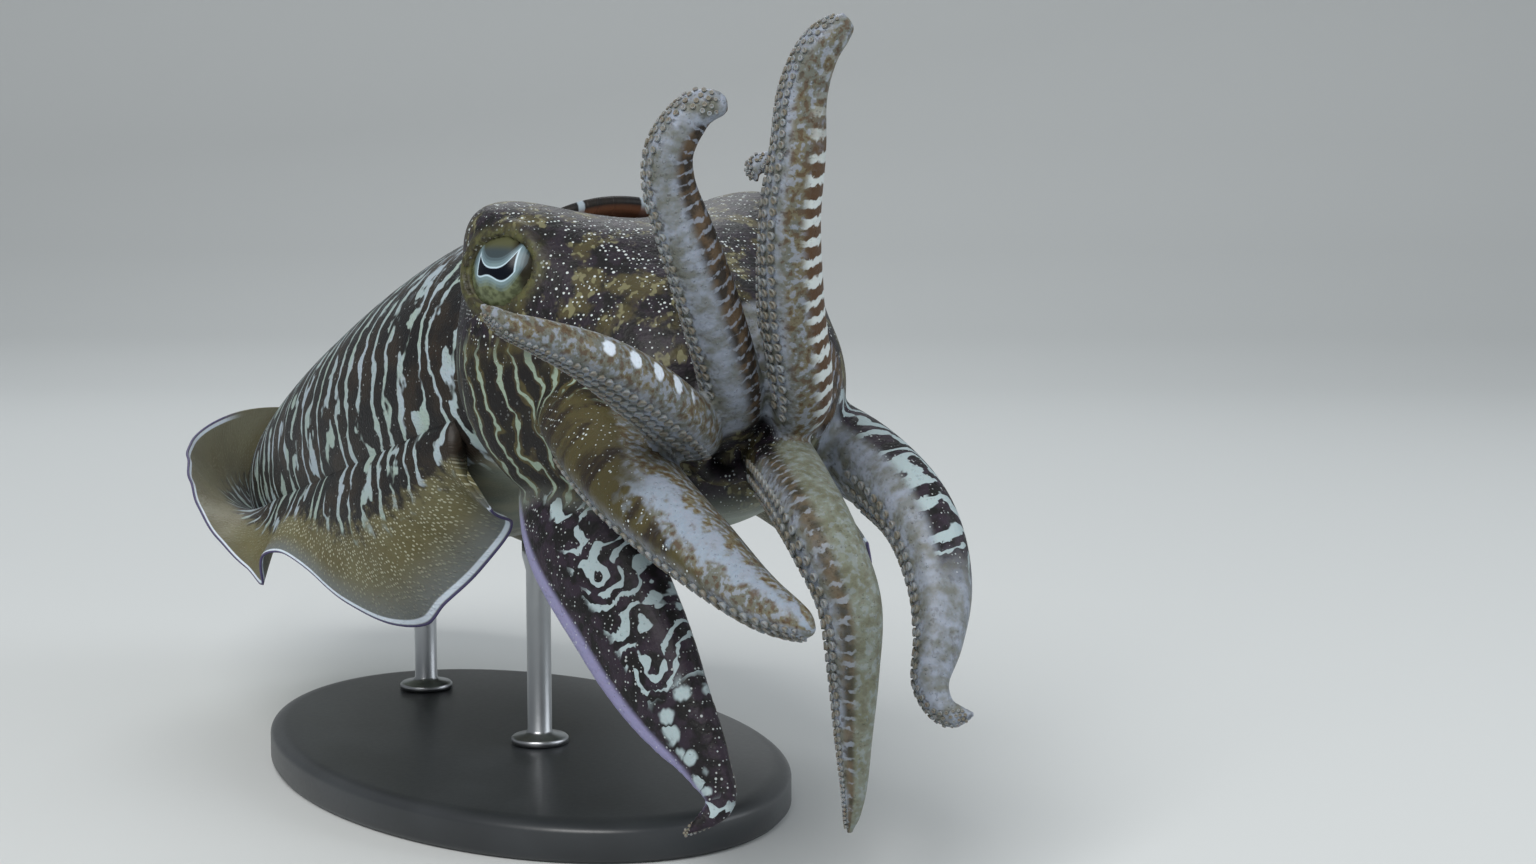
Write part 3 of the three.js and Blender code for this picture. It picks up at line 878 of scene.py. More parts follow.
@dataclass(frozen=True)
class HeadSkin:
    """Skin of head and arms: starry crown, striped cheeks and the lids.

    A pair of numbers gives where a part of the skin begins and where it is full, in millimetres
    from the head's centre.
    """

    stripe_pitch: float = 5.0
    star_pitch: float = 0.9
    large_star_pitch: float = 1.5
    starry_from: tuple[float, float] = (8.0, 26.0)
    cheek_side: tuple[float, float] = (24.0, 32.0)
    cheek_top: tuple[float, float] = (-4.0, 6.0)
    under_top: tuple[float, float] = (-38.0, -27.0)

    def stars(self, bench: Bench, place: Shade) -> Shade:
        """Fine white dots, thicker in some places and high on the head.

        Args:
            bench: The bench.
            place: Place about the head's centre.

        Returns:
            1 in a dot, 0 between.
        """
        thick = bench.noise(place, 9.0, 2.0).rise(0.35, 0.62)
        high = bench.parts(place)[2].rise(*self.starry_from)
        fine = bench.dots(place, self.star_pitch, thick * 0.2 + high * 0.1 + 0.17, 0.25)
        return fine.most(bench.dots(place, self.large_star_pitch, 0.17))

    def crown(self, bench: Bench, place: Shade, patches: Shade) -> Shade:
        """Plum skin with olive patches and fine gold.

        Args:
            bench: The bench.
            place: Place about the head's centre.
            patches: Noise of broad patches.

        Returns:
            The colour.
        """
        clouds = bench.noise(place, 3.0, 2.0)
        plum = bench.mix(clouds.rise(0.4, 0.6), TONES.dark, TONES.plum)
        colour = bench.mix(patches.rise(0.5, 0.64) * 0.85, plum, TONES.olive)
        gold = bench.noise(bench.stretch(place, (1.0, 1.0, 0.5)), 1.7, 1.0).rise(0.55, 0.62)
        return bench.mix(gold * patches.rise(0.48, 0.56) * 0.5, colour, TONES.gold)

    def head(self, bench: Bench, place: Shade, stars: Shade) -> Shade:
        """The head's colour.

        Args:
            bench: The bench.
            place: Place about the head's centre.
            stars: The fine white dots.

        Returns:
            The colour.
        """
        x, y, z = bench.parts(place)
        patches = bench.noise(place, 7.0, 4.0)
        slow = bench.noise(place, 9.0, 1.0)
        quick = bench.noise(place, 3.0, 1.0)
        run = y - z * 0.2 + slow * 9.0 + quick * 3.0
        breaks = bench.noise(bench.stretch(place, (1.0, 1.0, 0.3)), 3.4, 1.0)
        wave = (run * (math.tau / self.stripe_pitch)).sine()
        stripes = wave + (breaks - 0.5) * 1.2
        cheek = x.size().rise(*self.cheek_side) * (1 - z.rise(*self.cheek_top))
        ground = bench.mix(patches.rise(0.4, 0.6), TONES.umber, TONES.olive)
        colour = bench.mix(cheek, self.crown(bench, place, patches), ground)
        colour = bench.mix((1 - wave.rise(-0.1, 0.4)) * cheek * 0.9, colour, TONES.dark)
        colour = bench.mix(stripes.rise(0.72, 0.9) * cheek, colour, TONES.stripe)
        under = 1 - z.rise(*self.under_top)
        colour = bench.mix(under, colour, TONES.belly)
        return bench.mix(stars * (1 - under) * (1 - cheek * 0.85), colour, TONES.white)

    def material(self) -> bpy.types.Material:
        """The finished material.

        Returns:
            The material.
        """
        bench = Bench("head_skin")
        place = bench.place("place")
        stars = self.stars(bench, place)
        arms = ArmSkin(bench, place, bench.place("arm_lay"), stars).colour()
        colour = bench.mix(bench.number("arm"), self.head(bench, place, stars), arms)
        clouds = bench.noise(place, 2.0, 2.0)
        lids = bench.mix(clouds.rise(0.4, 0.62), TONES.lid, TONES.lid_dark)
        colour = bench.mix(bench.number("lid"), colour, lids)
        fine = bench.noise(place, 0.9, 3.0)
        grain = fine * 0.5 + stars * 0.4 + bench.noise(place, 3.0, 2.0) * 0.6
        return bench.finish(colour, 0.44 + grain * 0.1, bench.bump(grain, 0.4), MOIST)


@dataclass(frozen=True)
class SuckerFinish:
    """Pale suckers with a darker cup."""

    cool: Colour = srgb(132, 138, 142)
    warm: Colour = srgb(114, 110, 98)
    inside: Colour = srgb(92, 86, 76)

    def material(self) -> bpy.types.Material:
        """The finished material.

        Returns:
            The material.
        """
        bench = Bench("sucker_skin")
        cup = bench.number("cup")
        clouds = bench.noise(bench.place("place"), 2.5, 2.0)
        colour = bench.mix(clouds.rise(0.35, 0.65), self.cool, self.warm)
        colour = bench.mix(cup.rise(0.4, 0.9) * 0.4, colour, self.inside)
        shine = Shine(coat=0.08, subsurface=0.06, specular=0.3)
        return bench.finish(colour, 0.42 + clouds * 0.1, bench.bump(clouds, 0.1), shine)


@dataclass(frozen=True)
class EyeFinish:
    """A wet eye: olive iris, a dark pupil bent like a W, its bright edge, and painted shade on one
    side of the ball and round its rim.
    """

    half_width: float = 5.1
    line_width: float = 0.34
    soft: float = 0.14
    glows: tuple[tuple[float, float], ...] = ((2.4, 0.22), (1.7, 0.3), (1.1, 0.45))
    moss: Colour = srgb(70, 76, 54)
    leaf: Colour = srgb(104, 112, 84)
    flap: Colour = srgb(58, 68, 72)
    brow: Colour = srgb(84, 84, 54)
    painted_shade: Colour = srgb(30, 24, 18)
    glow: Colour = srgb(122, 146, 156)
    line: Colour = srgb(184, 206, 218)
    pupil: Colour = srgb(8, 12, 22)

    def inside(self, x: Shade, y: Shade, margin: float) -> Shade:
        """The pupil, grown by a margin.

        Args:
            x: Place across the eye in millimetres.
            y: Place up the eye in millimetres.
            margin: How far the outline is moved out.

        Returns:
            1 inside, 0 outside.
        """
        reach = self.half_width + margin
        share = x.size() / self.half_width
        low = ((x - 0.3) * 0.78).sine() * -0.6 - (1.6 + margin) + share.power(4.0) * 1.3
        high = share.power(2.6) * (x.rise(-5.0, 5.0) * 1.2 + 3.4) + (margin + 0.4)
        tall = (y - low).rise(-self.soft, self.soft) * (1 - (y - high).rise(-self.soft, self.soft))
        return tall * (1 - x.size().rise(reach - 0.3, reach))

    def material(self) -> bpy.types.Material:
        """The finished material.

        Returns:
            The material.
        """
        bench = Bench("eye_wet")
        place = bench.place("eye")
        x, y, _ = bench.parts(place)
        out = (x * x + y * y).power(0.5)
        clouds = bench.noise(place, 1.6, 3.0)
        colour = bench.mix(clouds.rise(0.35, 0.65), self.moss, self.leaf)
        colour = bench.mix(y.rise(0.2, 2.4) * (1 - out.rise(7.0, 8.6)), colour, self.flap)
        colour = bench.mix(y.rise(4.2, 6.4) * 0.8, colour, self.brow)
        # Painted shade: the ball darkens towards one side and round its rim, where the lids
        # overhang it.
        shade_crescent = (x + y * 0.3).rise(4.4, 6.6).most(out.rise(7.2, 9.2))
        colour = bench.mix(shade_crescent * 0.9, colour, self.painted_shade)
        for margin, share in self.glows:
            colour = bench.mix(self.inside(x, y, margin) * share, colour, self.glow)
        colour = bench.mix(self.inside(x, y, self.line_width), colour, self.line)
        colour = bench.mix(self.inside(x, y, 0.0), colour, self.pupil)
        return bench.finish(colour, 0.24, shine=Shine(specular=0.16))


@dataclass(frozen=True)
class StandFinish:
    """Satin paint or metal with faint unevenness."""

    name: str
    colour: Colour
    roughness: float
    metallic: float
    grain: float = 0.0012
    cloud: float = 0.03

    def material(self) -> bpy.types.Material:
        """The finished material.

        Returns:
            The material.
        """
        bench = Bench(self.name)
        place = bench.node("ShaderNodeTexCoord", output="Object")
        grain = bench.noise(place, self.grain, 3.0)
        clouds = bench.noise(place, self.cloud, 2.0)
        tint = tuple(min(1.0, c * 1.5 + 0.004) for c in self.colour)
        colour = bench.mix(clouds.rise(0.3, 0.7), self.colour, tint)
        rough = grain * 0.08 + clouds * 0.08 + (self.roughness - 0.08)
        shine = Shine(coat=0.1, metallic=self.metallic)
        return bench.finish(colour, rough, bench.bump(grain, 0.05, 0.4), shine)


@dataclass(frozen=True)
class FloorPaint:
    """A plain pale floor."""

    colour: Colour = srgb(206, 209, 209)

    def material(self) -> bpy.types.Material:
        """The finished material."""
        bench = Bench("floor_pale")
        return bench.finish(self.colour, 0.85)


class Side(Enum):
    """The animal's sides, as signs of X."""

    RIGHT = -1
    LEFT = 1

    @property
    def label(self) -> str:
        """The side's name in lower case."""
        return self.name.lower()


@dataclass(frozen=True)
class Fin:
    """One fin: reach and droop of its margin along the mantle, and how far its front leads."""

    side: Side
    reach: Profile
    droop: Profile
    lead: float = 0.0


@dataclass
class Trunk:
    """Mantle and fins."""

    length: float = 240.0
    half_width: float = 49.0
    top: float = 42.0
    bottom: float = 28.0
    pitch: float = 16.5
    neck_back: float = 17.0
    tail_rise: float = 6.0
    rim_lobe: float = 13.0
    fin_root: float = 108.0
    fin_from: float = 0.03
    fin_to: float = 0.965
    fin_fullness: float = 0.42
    tail_sweep: float = 9.0
    sweep_from: float = 0.75
    lead_span: float = 0.14
    ripple: float = 0.35
    ripple_turns: float = 58.0
    ripple_sway: tuple[float, float] = (5.0, 9.0)
    start_angle: float = 20.0
    start_share: float = 0.9
    start_limits: tuple[float, float] = (-40.0, 52.0)
    back_power: float = 2.1
    belly_power: float = 2.7
    sides: int = 200
    rim_steps: tuple[tuple[float, float], ...] = (
        (12.0, 7.0), (6.0, 4.6), (2.0, 4.0), (0.3, 3.2), (-0.7, 2.0), (-0.7, 1.0))
    width: Profile = Profile(((0, 0.83), (0.12, 0.94), (0.32, 1), (0.55, 0.93), (0.75, 0.73),
                              (0.9, 0.43), (0.97, 0.22), (1, 0.06)))
    rise: Profile = Profile(((0, 0.93), (0.15, 1.05), (0.4, 0.94), (0.65, 0.74), (0.85, 0.54),
                             (0.96, 0.32), (1, 0.1)))
    fall: Profile = Profile(((0, 0.96), (0.2, 1.04), (0.45, 0.96), (0.7, 0.7), (0.88, 0.4),
                             (0.96, 0.18), (1, 0.04)))
    thickness: Profile = Profile(((0, 3.4), (0.3, 2), (0.9, 0.9), (1, 0.6)))
    fins: tuple[Fin, ...] = (
        Fin(Side.RIGHT,
            Profile(((0, 21), (0.03, 27), (0.07, 32), (0.15, 38.5), (0.19, 42), (0.24, 40),
                     (0.29, 32), (0.34, 23), (0.39, 18.5), (0.43, 20), (0.47, 25), (0.52, 21),
                     (0.58, 18.5), (0.66, 20.5), (0.8, 29), (1, 38))),
            Profile(((0, 107), (0.03, 125), (0.07, 120), (0.15, 107), (0.24, 99), (0.34, 75),
                     (0.39, 59), (0.43, 51), (0.47, 63), (0.52, 53), (0.58, 23), (0.66, -17),
                     (0.75, -43), (0.84, -57), (0.92, -76), (1, -103)))),
        Fin(Side.LEFT,
            Profile(((0, 43), (0.05, 54), (0.13, 51), (0.2, 46), (0.35, 34), (0.46, 31), (0.7, 35),
                     (0.88, 30), (1, 15))),
            Profile(((0, 59), (0.1, 55), (0.2, 45), (0.33, 18), (0.46, -6), (0.58, 19), (0.7, 42),
                     (0.84, 20), (1, -3))), 8.0),
    )

    def point(self, s: Array, angle: Array, inset: Union[float, Array] = 0.0) -> Array:
        """Points of the mantle in its own frame.

        Args:
            s: Place along the mantle, from rim to tail.
            angle: Angle from the middle of the back, in radians.
            inset: Distance inside the surface.

        Returns:
            Points in millimetres.
        """
        power = np.where(np.cos(angle) > 0, self.back_power, self.belly_power)
        side, up = squircle(angle, power)
        high = np.where(up > 0, self.top * self.rise(s), self.bottom * self.fall(s))
        lobe = self.rim_lobe * np.maximum(0, np.cos(angle)) ** 3 * np.maximum(0, 1 - s / 0.2) ** 2
        return np.stack([-(self.half_width * self.width(s) - inset) * side,
                         self.length * s - lobe,
                         (high - inset) * up + self.tail_rise * s * s], axis=-1)

    def world(self, points: Array) -> Array:
        """Points of the trunk's frame in the part's frame.

        Args:
            points: Points in the trunk's frame.

        Returns:
            The same points in the part's frame.
        """
        a = math.radians(self.pitch)
        c, s = math.cos(a), math.sin(a)
        turn = np.array([[1, 0, 0], [0, c, s], [0, -s, c]])
        origin = HEAD + [0, self.neck_back * c, -self.neck_back * s - 1]
        return points @ turn.T + origin

    def mantle(self) -> Surface:
        """The mantle, from inside its front rim round to the tail.

        Returns:
            The closed skin.
        """
        stations = np.concatenate([np.linspace(0, 0.1, 24)[:-1], np.linspace(0.1, 0.9, 150)[:-1],
                                   np.linspace(0.9, 1, 30)])
        angle = np.linspace(0, 2 * math.pi, self.sides, endpoint=False)
        s, a = np.meshgrid(stations, angle, indexing="ij")
        outer = self.point(s, a)
        rim = []
        for depth, inset in self.rim_steps:
            ring = self.point(np.zeros_like(angle), angle, inset)
            ring[:, 1] += depth
            rim.append(ring)
        points = np.concatenate([np.stack(rim), outer])
        along = np.concatenate([np.zeros((len(rim), len(angle))), s * self.length])
        step = np.linalg.norm(np.diff(points, axis=1, append=points[:, :1]), axis=2)
        half = len(angle) // 2
        run = np.cumsum(step, axis=1)[:, :-1]
        right = np.concatenate([np.zeros((len(points), 1)), run], axis=1)
        whole = step.sum(axis=1, keepdims=True)
        around = np.where(np.arange(len(angle)) <= half, right, right - whole)
        turn = np.broadcast_to(1 - np.abs(angle / math.pi - 1), around.shape)
        lay = np.stack([-around, along, np.zeros_like(along)], axis=-1)
        lip = np.zeros_like(along)
        lip[:len(rim) - 2] = 1.0
        values = {"lay": lay, "turn": turn.copy(), "fin": np.zeros_like(along), "rim": lip}
        return Surface.loft(self.world(points), values).outward()

    def fin_point(self, fin: Fin, u: Array, w: Array) -> Array:
        """Points of a fin's middle surface.

        Args:
            fin: The fin.
            u: Place along the fin, 0 to 1.
            w: Place from root, 0, to margin, 1.

        Returns:
            Points in the trunk's frame.
        """
        root = self.point(self.fin_from + (self.fin_to - self.fin_from) * u,
                          np.full_like(u, math.radians(self.fin_root)))
        droop = np.radians(fin.droop(u))
        start = self.start_angle + self.start_share * fin.droop(u)
        start = np.radians(np.clip(start, *self.start_limits))
        reach = fin.reach(u)
        bend = 2 * w * (1 - w) * self.fin_fullness * reach
        chord = w * w * reach
        sway, turns = self.ripple_sway
        ripple = self.ripple * w ** 2 * np.sin(u * self.ripple_turns + sway * np.sin(u * turns))
        late = np.maximum(0, (u - self.sweep_from) / (1 - self.sweep_from))
        trail = self.tail_sweep * w * late ** 2
        lead = fin.lead * w * np.maximum(0, 1 - u / self.lead_span) ** 2
        return np.stack([
            fin.side.value * (np.abs(root[..., 0]) + bend * np.cos(start)
                              + chord * np.cos(droop) + ripple * np.sin(droop)),
            root[..., 1] + trail - lead,
            root[..., 2] - bend * np.sin(start) - chord * np.sin(droop) + ripple * np.cos(droop),
        ], axis=-1)

    def membrane(self, fin: Fin) -> Surface:
        """One fin as a closed sheet that thins towards its margin.

        Args:
            fin: The fin.

        Returns:
            The closed skin.
        """
        out = np.concatenate([np.linspace(-0.12, 0.94, 34)[:-1], np.linspace(0.94, 1, 12)])
        u, w = np.meshgrid(np.linspace(0, 1, 340), out, indexing="ij")
        middle = self.fin_point(fin, u, w)
        normal = unit(np.cross(np.gradient(middle, axis=0), np.gradient(middle, axis=1)))
        half = self.thickness(np.clip(w, 0, 1))[..., None] / 2
        upper, lower = middle + normal * half, middle - normal * half
        sheet = np.concatenate([upper, lower[:, ::-1]], axis=1)
        turn = np.linspace(0, math.radians(self.fin_root), 60)
        share = self.fin_from + (self.fin_to - self.fin_from) * u
        s, a = np.meshgrid(share[:, 0], turn, indexing="ij")
        root_arc = np.linalg.norm(np.diff(self.point(s, a), axis=1), axis=2).sum(axis=1)[:, None]
        around = root_arc + np.maximum(w, 0) * fin.reach(u)
        lay = np.stack([fin.side.value * around, self.length * share, w * 0], axis=-1)
        values = {"lay": np.concatenate([lay, lay[:, ::-1]], axis=1),
                  "turn": np.full(sheet.shape[:2], 0.6), "rim": np.zeros(sheet.shape[:2]),
                  "fin": np.concatenate([w, w[:, ::-1]], axis=1).clip(0, 1)}
        return Surface.loft(self.world(sheet), values).outward()

    def build(self) -> None:
        """Make and dress the mantle and both fins."""
        skin = TrunkSkin().material()
        settle(self.mantle().mesh("skin_mantle"), "body", skin, "mantle")
        for fin in self.fins:
            name = f"fin_{fin.side.label}"
            settle(self.membrane(fin).mesh(f"skin_{name}"), "fin", skin, name)


class Pattern(Enum):
    """How an arm's outside is marked."""

    MOTTLED = "mottled"
    LOBED = "lobed"
    EDGED = "edged"
    RIBBED = "ribbed"
    PEARLED = "pearled"
    BARRED = "barred"
    BOLD = "bold"


@dataclass(frozen=True)
class Arm:
    """One arm: its route about the head's centre, section and markings."""

    name: str
    route: tuple[tuple[float, float, float], ...]
    oral: tuple[tuple[float, float, float], tuple[float, float, float]]
    width: float
    depth: float
    pattern: Pattern = Pattern.MOTTLED
    slender: float = 1.0
    keel: float = 0.0
    root: float = 0.24
    taper: Profile = Profile(((0, 1.1), (0.3, 1), (0.6, 0.86), (0.85, 0.52), (0.96, 0.3),
                              (1, 0.08)))
    inner_share: float = 0.34
    outer_share: float = 0.56
    power: float = 2.3

    def line(self, count: int) -> Array:
        """Evenly spaced points of the route.

        Args:
            count: Number of points.

        Returns:
            Points in millimetres about the head's centre.
        """
        p = np.array(self.route, float)
        p = np.concatenate([[2 * p[0] - p[1]], p, [2 * p[-1] - p[-2]]])
        dense = []
        for a, b, c, d in zip(p[:-3], p[1:-2], p[2:-1], p[3:]):
            gaps = [math.sqrt(np.linalg.norm(y - x)) for x, y in ((a, b), (b, c), (c, d))]
            before, here, after = gaps
            leave = ((b - a) / before - (c - a) / (before + here) + (c - b) / here) * here
            meet = ((c - b) / here - (d - b) / (here + after) + (d - c) / after) * here
            t = np.linspace(0, 1, 40, endpoint=False)[:, None]
            dense.append((2 * t**3 - 3 * t**2 + 1) * b + (t**3 - 2 * t**2 + t) * leave
                         + (3 * t**2 - 2 * t**3) * c + (t**3 - t**2) * meet)
        dense = np.concatenate([*dense, p[-2:-1]])
        run = np.concatenate([[0], np.cumsum(np.linalg.norm(np.diff(dense, axis=0), axis=1))])
        even = np.linspace(0, run[-1], count)
        return np.stack([np.interp(even, run, dense[:, k]) for k in range(3)], axis=1)

    def frames(self, count: int) -> tuple[Array, Array, Array, Array, Array, float]:
        """Directions along the arm.

        Args:
            count: Number of places.

        Returns:
            Share of the length, centre, along, oral and across at each place, and the length.
        """
        t = np.linspace(0, 1, count)
        centre = self.line(count)
        along = unit(np.gradient(centre, axis=0))
        oral = np.array(self.oral[0]) * (1 - t[:, None]) + np.array(self.oral[1]) * t[:, None]
        oral = unit(oral - along * (oral * along).sum(axis=1, keepdims=True))
        length = float(np.linalg.norm(np.diff(centre, axis=0), axis=1).sum())
        return t, centre, along, oral, np.cross(oral, along), length

    def girth(self, t: Array) -> tuple[Array, Array, Array]:
        """Half width, depth and keel of the section.

        Args:
            t: Shares of the length.

        Returns:
            Half width, depth and height of the keel at each of them.
        """
        share = self.taper(t) ** self.slender
        swell = np.sin(math.pi * np.minimum(1, t * 1.02)).clip(0) ** 0.6
        keel = self.keel * swell * np.minimum(1, 2 * share)
        return self.width / 2 * share, self.depth * share, keel

    def surface(self) -> Surface:
        """The arm as a closed tube, rounded outside and flatter on its inner face.

        Returns:
            The closed tube.
        """
        t, centre, _, oral, across, _ = self.frames(140)
        width, depth, keel = self.girth(t)
        angle = np.linspace(0, 2 * math.pi, 32, endpoint=False)
        side, up = squircle(angle, self.power)
        edge = np.maximum(0, np.sign(self.keel) * np.sin(angle)) ** 6
        high = np.where(up > 0, self.inner_share, self.outer_share)
        rings = (centre[:, None]
                 + across[:, None] * (side * width[:, None] + edge * keel[:, None])[..., None]
                 + oral[:, None] * (up * high * depth[:, None])[..., None])
        return Surface.loft(rings + HEAD).outward()


@dataclass
class Crown:
    """The eight arms with their suckers."""

    arms: tuple[Arm, ...]
    rows: tuple[float, ...] = (-0.66, -0.24, 0.22, 0.64)
    row_tilt: float = 0.6
    cup_size: float = 0.15
    cup_limits: tuple[float, float] = (0.36, 1.0)
    cup_step: float = 1.35
    cup_sides: int = 12
    cup_outline: tuple[tuple[float, float, float], ...] = (
        (0.75, -1.3, 0.0), (0.85, 0.0, 0.0), (1.0, 0.3, 0.0), (1.0, 0.55, 0.0), (0.8, 0.68, 0.1),
        (0.58, 0.55, 0.7), (0.3, 0.35, 1.0))
    last_cup: float = 0.985
    places: int = 400
    chunk: int = 20000
    keel_from: float = 0.92
    keel_soft: float = 1.2
    patterns: tuple[str, ...] = tuple(pattern.value for pattern in Pattern)

    def cup(self, place: Array, facing: Array, radius: float) -> Surface:
        """One sucker.

        Args:
            place: Point on the arm's inner face.
            facing: Direction that the cup opens.
            radius: Radius of its rim.

        Returns:
            A short stalk with a rim and a hollow cup.
        """
        side = unit(np.cross(facing, [0.3, 0.2, 1.0]))
        other = np.cross(facing, side)
        a = np.linspace(0, 2 * math.pi, self.cup_sides, endpoint=False)[:, None]
        rings = np.stack([place + radius * (r * (np.cos(a) * side + np.sin(a) * other) + z * facing)
                          for r, z, _ in self.cup_outline])
        depth = np.repeat(np.array([[c] for _, _, c in self.cup_outline]), self.cup_sides, axis=1)
        return Surface.loft(rings, {"cup": depth, "place": rings - HEAD})

    def suckers(self, arm: Arm) -> Surface:
        """All suckers of an arm, four staggered rows out to the tip.

        Args:
            arm: The arm.

        Returns:
            The suckers as one surface.
        """
        t, centre, _, oral, across, length = arm.frames(self.places)
        width, depth, _ = arm.girth(t)
        cups = []
        at = arm.root * length
        last = self.places - 1
        step = 0
        while at < length * self.last_cup:
            i = min(last, int(at / length * last))
            radius = float(np.clip(width[i] * self.cup_size, *self.cup_limits))
            for k, row in enumerate(self.rows):
                if (k + step) % 2:
                    continue
                high = (1 - abs(row) ** arm.power) ** (1 / arm.power)
                lift = depth[i] * arm.inner_share * high
                facing = unit(oral[i] + across[i] * row * self.row_tilt)
                place = centre[i] + across[i] * row * width[i] + oral[i] * lift + HEAD
                cups.append(self.cup(place, facing, radius))
            at += radius * self.cup_step
            step += 1
        return Surface.join(cups)

    def build(self) -> None:
        """Make and dress the suckers of every arm."""
        finish = SuckerFinish().material()
        for arm in self.arms:
            settle(self.suckers(arm).mesh(f"suckers_{arm.name}"), "arm", finish)

    def read(self, points: Array) -> dict[str, Array]:
        """Where points lie on the arms.

        Args:
            points: Points about the head's centre.

        Returns:
            The nearest arm's gap, lay and markings at each point.
        """
        count = len(points)
        best = np.full(count, 1e9)
        lay = np.zeros((count, 3))
        marks = {name: np.zeros(count) for name in (*self.patterns, "keel", "share")}
        for arm in self.arms:
            t, centre, _, oral, across, length = arm.frames(160)
            width, depth, _ = arm.girth(t)
            nearest = np.empty(count, int)
            for start in range(0, count, self.chunk):
                part = points[start:start + self.chunk]
                square = ((part[:, None] - centre[None]) ** 2).sum(axis=2)
                nearest[start:start + self.chunk] = square.argmin(axis=1)
            away = points - centre[nearest]
            x = (away * across[nearest]).sum(axis=1)
            z = (away * oral[nearest]).sum(axis=1)
            gap = np.linalg.norm(away, axis=1) - (width[nearest] + depth[nearest] * 0.45) / 2
            take = gap < best
            best[take] = gap[take]
            outward = np.arctan2(z, np.abs(x)) / (math.pi / 2)
            found = np.stack([x, t[nearest] * length, outward], axis=1)
            lay[take] = found[take]
            for name in self.patterns:
                marks[name][take] = float(arm.pattern.value == name)
            beyond = np.sign(arm.keel) * x - width[nearest] * self.keel_from
            marks["keel"][take] = np.clip(beyond / self.keel_soft, 0, 1)[take] * (arm.keel != 0)
            marks["share"][take] = t[nearest][take]
        return {"gap": best, "arm_lay": lay, **marks}


ARMS = (
    Arm("right_1", ((-8, -42, -16), (-14, -62, -8), (-26, -75, 11), (-35, -81, 27), (-40, -83, 38),
                    (-41, -86, 45.5), (-37, -90, 52.5), (-32, -94, 53.5)),
        ((-0.85, 0.2, -0.3), (-0.94, 0.36, 0)), 12.5, 14, Pattern.EDGED, 0.5, 0, 0.22),
    Arm("left_1", ((4, -42, -16), (-2, -69, -7), (-11, -81, 15), (-15, -87, 31), (-16, -92, 45),
                   (-16, -94, 56), (-14, -98, 65), (-9, -101, 70)),
        ((-0.9, 0.15, -0.3), (-0.95, 0.28, 0.1)), 12.5, 14.5, Pattern.BARRED, 0.5, 0, 0.26),
    Arm("left_2", ((14, -32, -16), (7, -52, -8), (-1, -61, 12), (-5, -67, 27), (-6, -71, 37),
                   (-8, -72, 42), (-13, -71, 42), (-13, -73, 38)),
        ((-0.8, 0.1, -0.3), (-0.8, 0, 0)), 11.5, 11, Pattern.EDGED, 1.0, 0, 0.28),
    Arm("right_2", ((-13, -36, -18), (-25, -63, -13), (-42, -76, -3), (-56, -83, 4), (-69, -87, 9),
                    (-77, -89, 12), (-82, -90, 16)),
        ((-0.2, -0.15, -0.95), (-0.28, -0.05, -0.95)), 15, 14, Pattern.PEARLED, 1.0, 0, 0.26),
    Arm("right_3", ((-21, -14, -7), (-32, -38, -17), (-35, -62, -27), (-33, -84, -36),
                    (-30, -102, -43), (-27, -117, -46)),
        ((-0.3, -0.05, -0.95), (-0.55, 0.15, -0.83)), 26, 20, Pattern.LOBED, 0.85, 0, 0.28),
    Arm("left_3", ((6, -36, -18), (-1, -60, -23), (-9, -82, -27), (-13, -97, -33), (-11, -103, -44),
                   (-9, -102, -58), (-8, -101, -72), (-7, -100, -84), (-7, -99, -93)),
        ((-0.8, 0.2, -0.5), (-0.87, 0.48, 0)), 16, 16.5, Pattern.MOTTLED, 1.15, 0, 0.22),
    Arm("right_4", ((-21, -6, -20), (-28, -24, -37), (-26.5, -42, -54), (-24, -55, -69),
                    (-20.5, -66, -83), (-20, -70, -91), (-29, -67, -98)),
        ((0.6, 0.3, -0.3), (0.6, 0.5, 0)), 26, 14, Pattern.BOLD, 1.8, 4, 0.26),
    Arm("left_4", ((23, -22, -18), (27, -53, -26), (27, -71.5, -35), (25.5, -81.5, -47),
                   (21.5, -87.5, -57), (17.5, -91, -66), (18.5, -95.5, -71), (23, -101, -71)),
        ((-0.7, 0.3, -0.6), (-0.87, 0.45, -0.1)), 21, 19, Pattern.RIBBED, 1.2, -4, 0.33),
)


